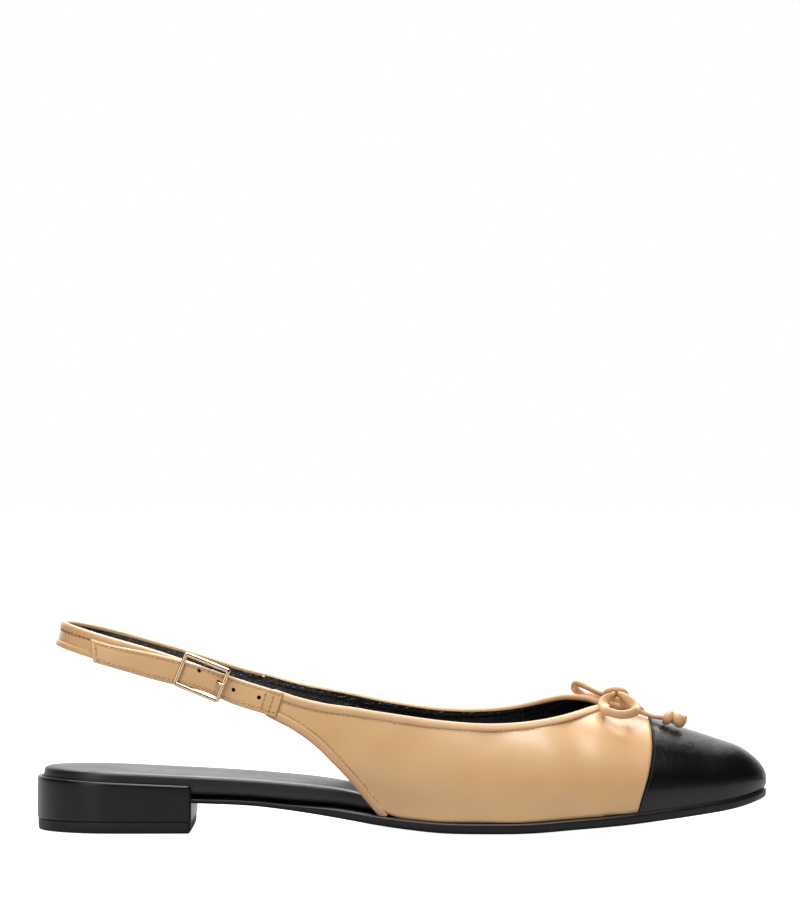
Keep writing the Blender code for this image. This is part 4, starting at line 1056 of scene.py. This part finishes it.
def buildBuckle():
    verts = np.array([vertex.co[:] for vertex in nodes["buckle_frame"].data.vertices])
    axes = np.linalg.svd(verts - verts.mean(axis=0), full_matrices=False)[2]
    along = axes[0] * np.sign(axes[0][0])
    up = axes[1] * np.sign(axes[1][2])
    out = axes[2] * -np.sign(axes[2][1])
    spans = [(verts @ axis).min() for axis in (along, up)] + [(verts @ out).max() - buckle["barDeep"]]
    tops = [(verts @ axis).max() for axis in (along, up)] + [(verts @ out).max()]
    middle = sum(axis * (a + b) / 2 for axis, a, b in zip((along, up, out), spans, tops))
    halfLong = (tops[0] - spans[0]) / 2 - buckle["barHalf"]
    halfHigh = (tops[1] - spans[1]) / 2 - buckle["barHalf"]
    radius = buckle["corner"]
    path, sides = [], []
    corners = [middle + along * sx * (halfLong - radius) + up * sy * (halfHigh - radius)
               for sx, sy in ((1, 1), (-1, 1), (-1, -1), (1, -1))]
    for turn, corner in enumerate(corners):
        for angle in np.radians(np.linspace(0, 90, buckle["cornerPoints"])) + turn * math.pi / 2:
            way = along * math.cos(angle) + up * math.sin(angle)
            path.append(corner + way * radius)
            sides.append(way)
        after = corners[(turn + 1) % len(corners)]
        for share in np.linspace(0, 1, buckle["between"] + 2)[1:-1]:
            path.append(corner + (after - corner) * share + way * radius)
            sides.append(way)
    shape = np.array(buckle["bar"]) * mm
    ring = sweep("buckleFrame", path, sides, [out] * len(path), [shape] * len(path), [gilt], closed=True)
    ring.data.set_sharp_from_angle(angle=math.radians(buckle["sharp"]))
    dress(ring, "gilt_metal", "buckle_frame")
    flat = (verts - middle) @ np.stack([along, up, out], axis=1)
    back = flat[:, 2].min() + buckle["pin"]
    bend = [(halfHigh - inside, back * share) for inside, share in buckle["pinBend"]]
    points = [(-a, b) for a, b in bend] + [(0.0, back)] + bend[::-1]
    path = smoothLine([middle + up * a + out * b for a, b in points], buckle["pinStep"])
    around = roundTurn(buckle["pinSides"])
    pin = [(math.cos(a) * buckle["pin"], math.sin(a) * buckle["pin"]) for a in around]
    runs = headings(path)
    bar = sweep("buckleBar", path, [along] * len(path), np.cross(runs, along), [pin] * len(path), [gilt])
    dress(bar, "gilt_metal")
    work = cadCage("buckle_prong")
    joinQuads(work)
    dress(rounded(newPiece("buckleTongue", work, [gilt])), "gilt_metal", "buckle_prong")


# Cap seam: one black row just inside the cap's edge
seam = {
    "inset": 0.6 * mm,
    "axis": (0.003, 0.012),  # y, z of a line through the toe
    "within": 12 * mm,  # how far the curved edge runs on from the cap's hindmost point
    "backward": -0.75,  # faces of the cut edge look backwards beyond this cosine
    "beside": (0.05, 3 * mm),  # a corner's neighbours: angle round the axis, radians, and distance
    "proud": 0.4 * mm,  # the outer corners of the edge lie within this of their highest neighbour
    "thread": {"pitch": 1.4 * mm, "hole": 0.4 * mm, "thread": 0.24 * mm, "rise": 0.05 * mm,
               "material": blackThread, "shadow": blackThread},
}


def buildCapSeam():
    work = cadCage("toe_cap")
    tree = BVHTree.FromBMesh(work)
    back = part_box("toe_cap")[0][0] + seam["within"]
    cut = [face for face in work.faces if face.normal.x < seam["backward"]]
    rim = {vert for face in cut for vert in face.verts if vert.co.x < back}
    rows = []
    for vert in rim:
        y, z = vert.co.y - seam["axis"][0], vert.co.z - seam["axis"][1]
        rows.append((math.atan2(y, z), math.hypot(y, z), vert.co.copy()))
    work.free()
    rows.sort(key=lambda row: row[0])
    outer = []
    turn, gap = seam["beside"]
    for angle, reach, spot in rows:
        near = [r for a, r, p in rows if abs(a - angle) < turn and (p - spot).length < gap]
        if reach >= max(near) - seam["proud"]:
            outer.append(spot)
    points, normals = laidOn(tree, [spot + Vector((seam["inset"], 0, 0)) for spot in outer])
    row = stitchRow("capStitch", points, normals, seam["thread"])
    dress(row, "black_leather")


# Studio: white paper, soft boxes above, in front and to the left, a white wall behind, a dark room in front
studio = {
    "paper": "#FFFFFF",  # as the camera sees it, burnt out to white
    "grey": 0.37,  # what it gives back to the shoe
    "boxes": {
        "boxOverhead": {"place": (0.0, 0.6, 1.4), "size": (1.3, 1.1), "watts": 42.0},
        "boxFront": {"place": (0.0, -0.75, 1.3), "size": (1.3, 0.6), "watts": 21.0},
        "boxLeft": {"place": (-1.14, -1.41, 0.85), "size": (1.0, 1.5), "watts": 8.5},
    },
    "backdrop": 1.0,  # the white that the camera sees past the paper
    "room": (0.008, 1.3),  # light from the front and from the wall behind
    "wall": (0.55, 0.97),  # where that wall begins and is full: cosines off straight behind
    "aim": (0, 0, 0.03),  # the boxes point at the middle of the shoe
    "paperHalf": 12,  # m
    "paperShader": {"Roughness": 0.9, "Specular IOR Level": 0.1},
}


def areaLight(name, look):
    data = bpy.data.lights.new(name, "AREA")
    data.shape = "RECTANGLE"
    data.size, data.size_y = look["size"]
    data.energy = look["watts"]
    lamp = bpy.data.objects.new(name, data)
    lamp.location = look["place"]
    lamp.rotation_euler = (Vector(studio["aim"]) - lamp.location).to_track_quat("-Z", "Y").to_euler()
    bpy.context.scene.collection.objects.link(lamp)


def buildStudio():
    made, tree, shader = newMaterial("paper_sweep_white", studio["paperShader"])
    shader.inputs["Base Color"].default_value = (*[studio["grey"]] * 3, 1)
    shader.inputs["Emission Color"].default_value = srgb(studio["paper"])
    seen = addNode(tree, "LightPath").outputs["Is Camera Ray"]
    tree.links.new(seen, shader.inputs["Emission Strength"])
    work = bmesh.new()
    bmesh.ops.create_grid(work, x_segments=1, y_segments=1, size=studio["paperHalf"])
    floor = newPiece("paperSweep", work, [made])
    for name, look in studio["boxes"].items():
        areaLight(name, look)
    world = bpy.data.worlds.new("studioRoom")
    bpy.context.scene.world = world
    world.use_nodes = True
    tree = world.node_tree
    facing = addNode(tree, "SeparateXYZ", {0: addNode(tree, "TexCoord").outputs["Generated"]})
    low, high = studio["room"]
    begins, full = studio["wall"]
    walls = addNode(tree, "MapRange", {"Value": facing.outputs["Y"], "From Min": begins, "From Max": full,
                                       "To Min": low, "To Max": high}, interpolation_type="SMOOTHSTEP")
    seen = addNode(tree, "LightPath").outputs["Is Camera Ray"]
    shown = addNode(tree, "Mix", {0: seen, 2: walls.outputs["Result"], 3: studio["backdrop"]},
                    data_type="FLOAT")
    tree.links.new(shown.outputs[0], tree.nodes["Background"].inputs["Strength"])
    tree.nodes["Background"].inputs["Color"].default_value = (1, 1, 1, 1)
    bpy.context.scene.view_settings.view_transform = "Standard"


buildCamera()
buildBow()
print("bow tied")
buildOutsole()
buildFootbed()
buildHeel()
print("sole, footbed and heel done")
skin = buildUpper()
buildCap()
buildEdges(skin)
buildCapSeam()
print("upper, cap and edges done")
buildStraps()
buildBuckle()
print("straps and buckle done")
buildStudio()
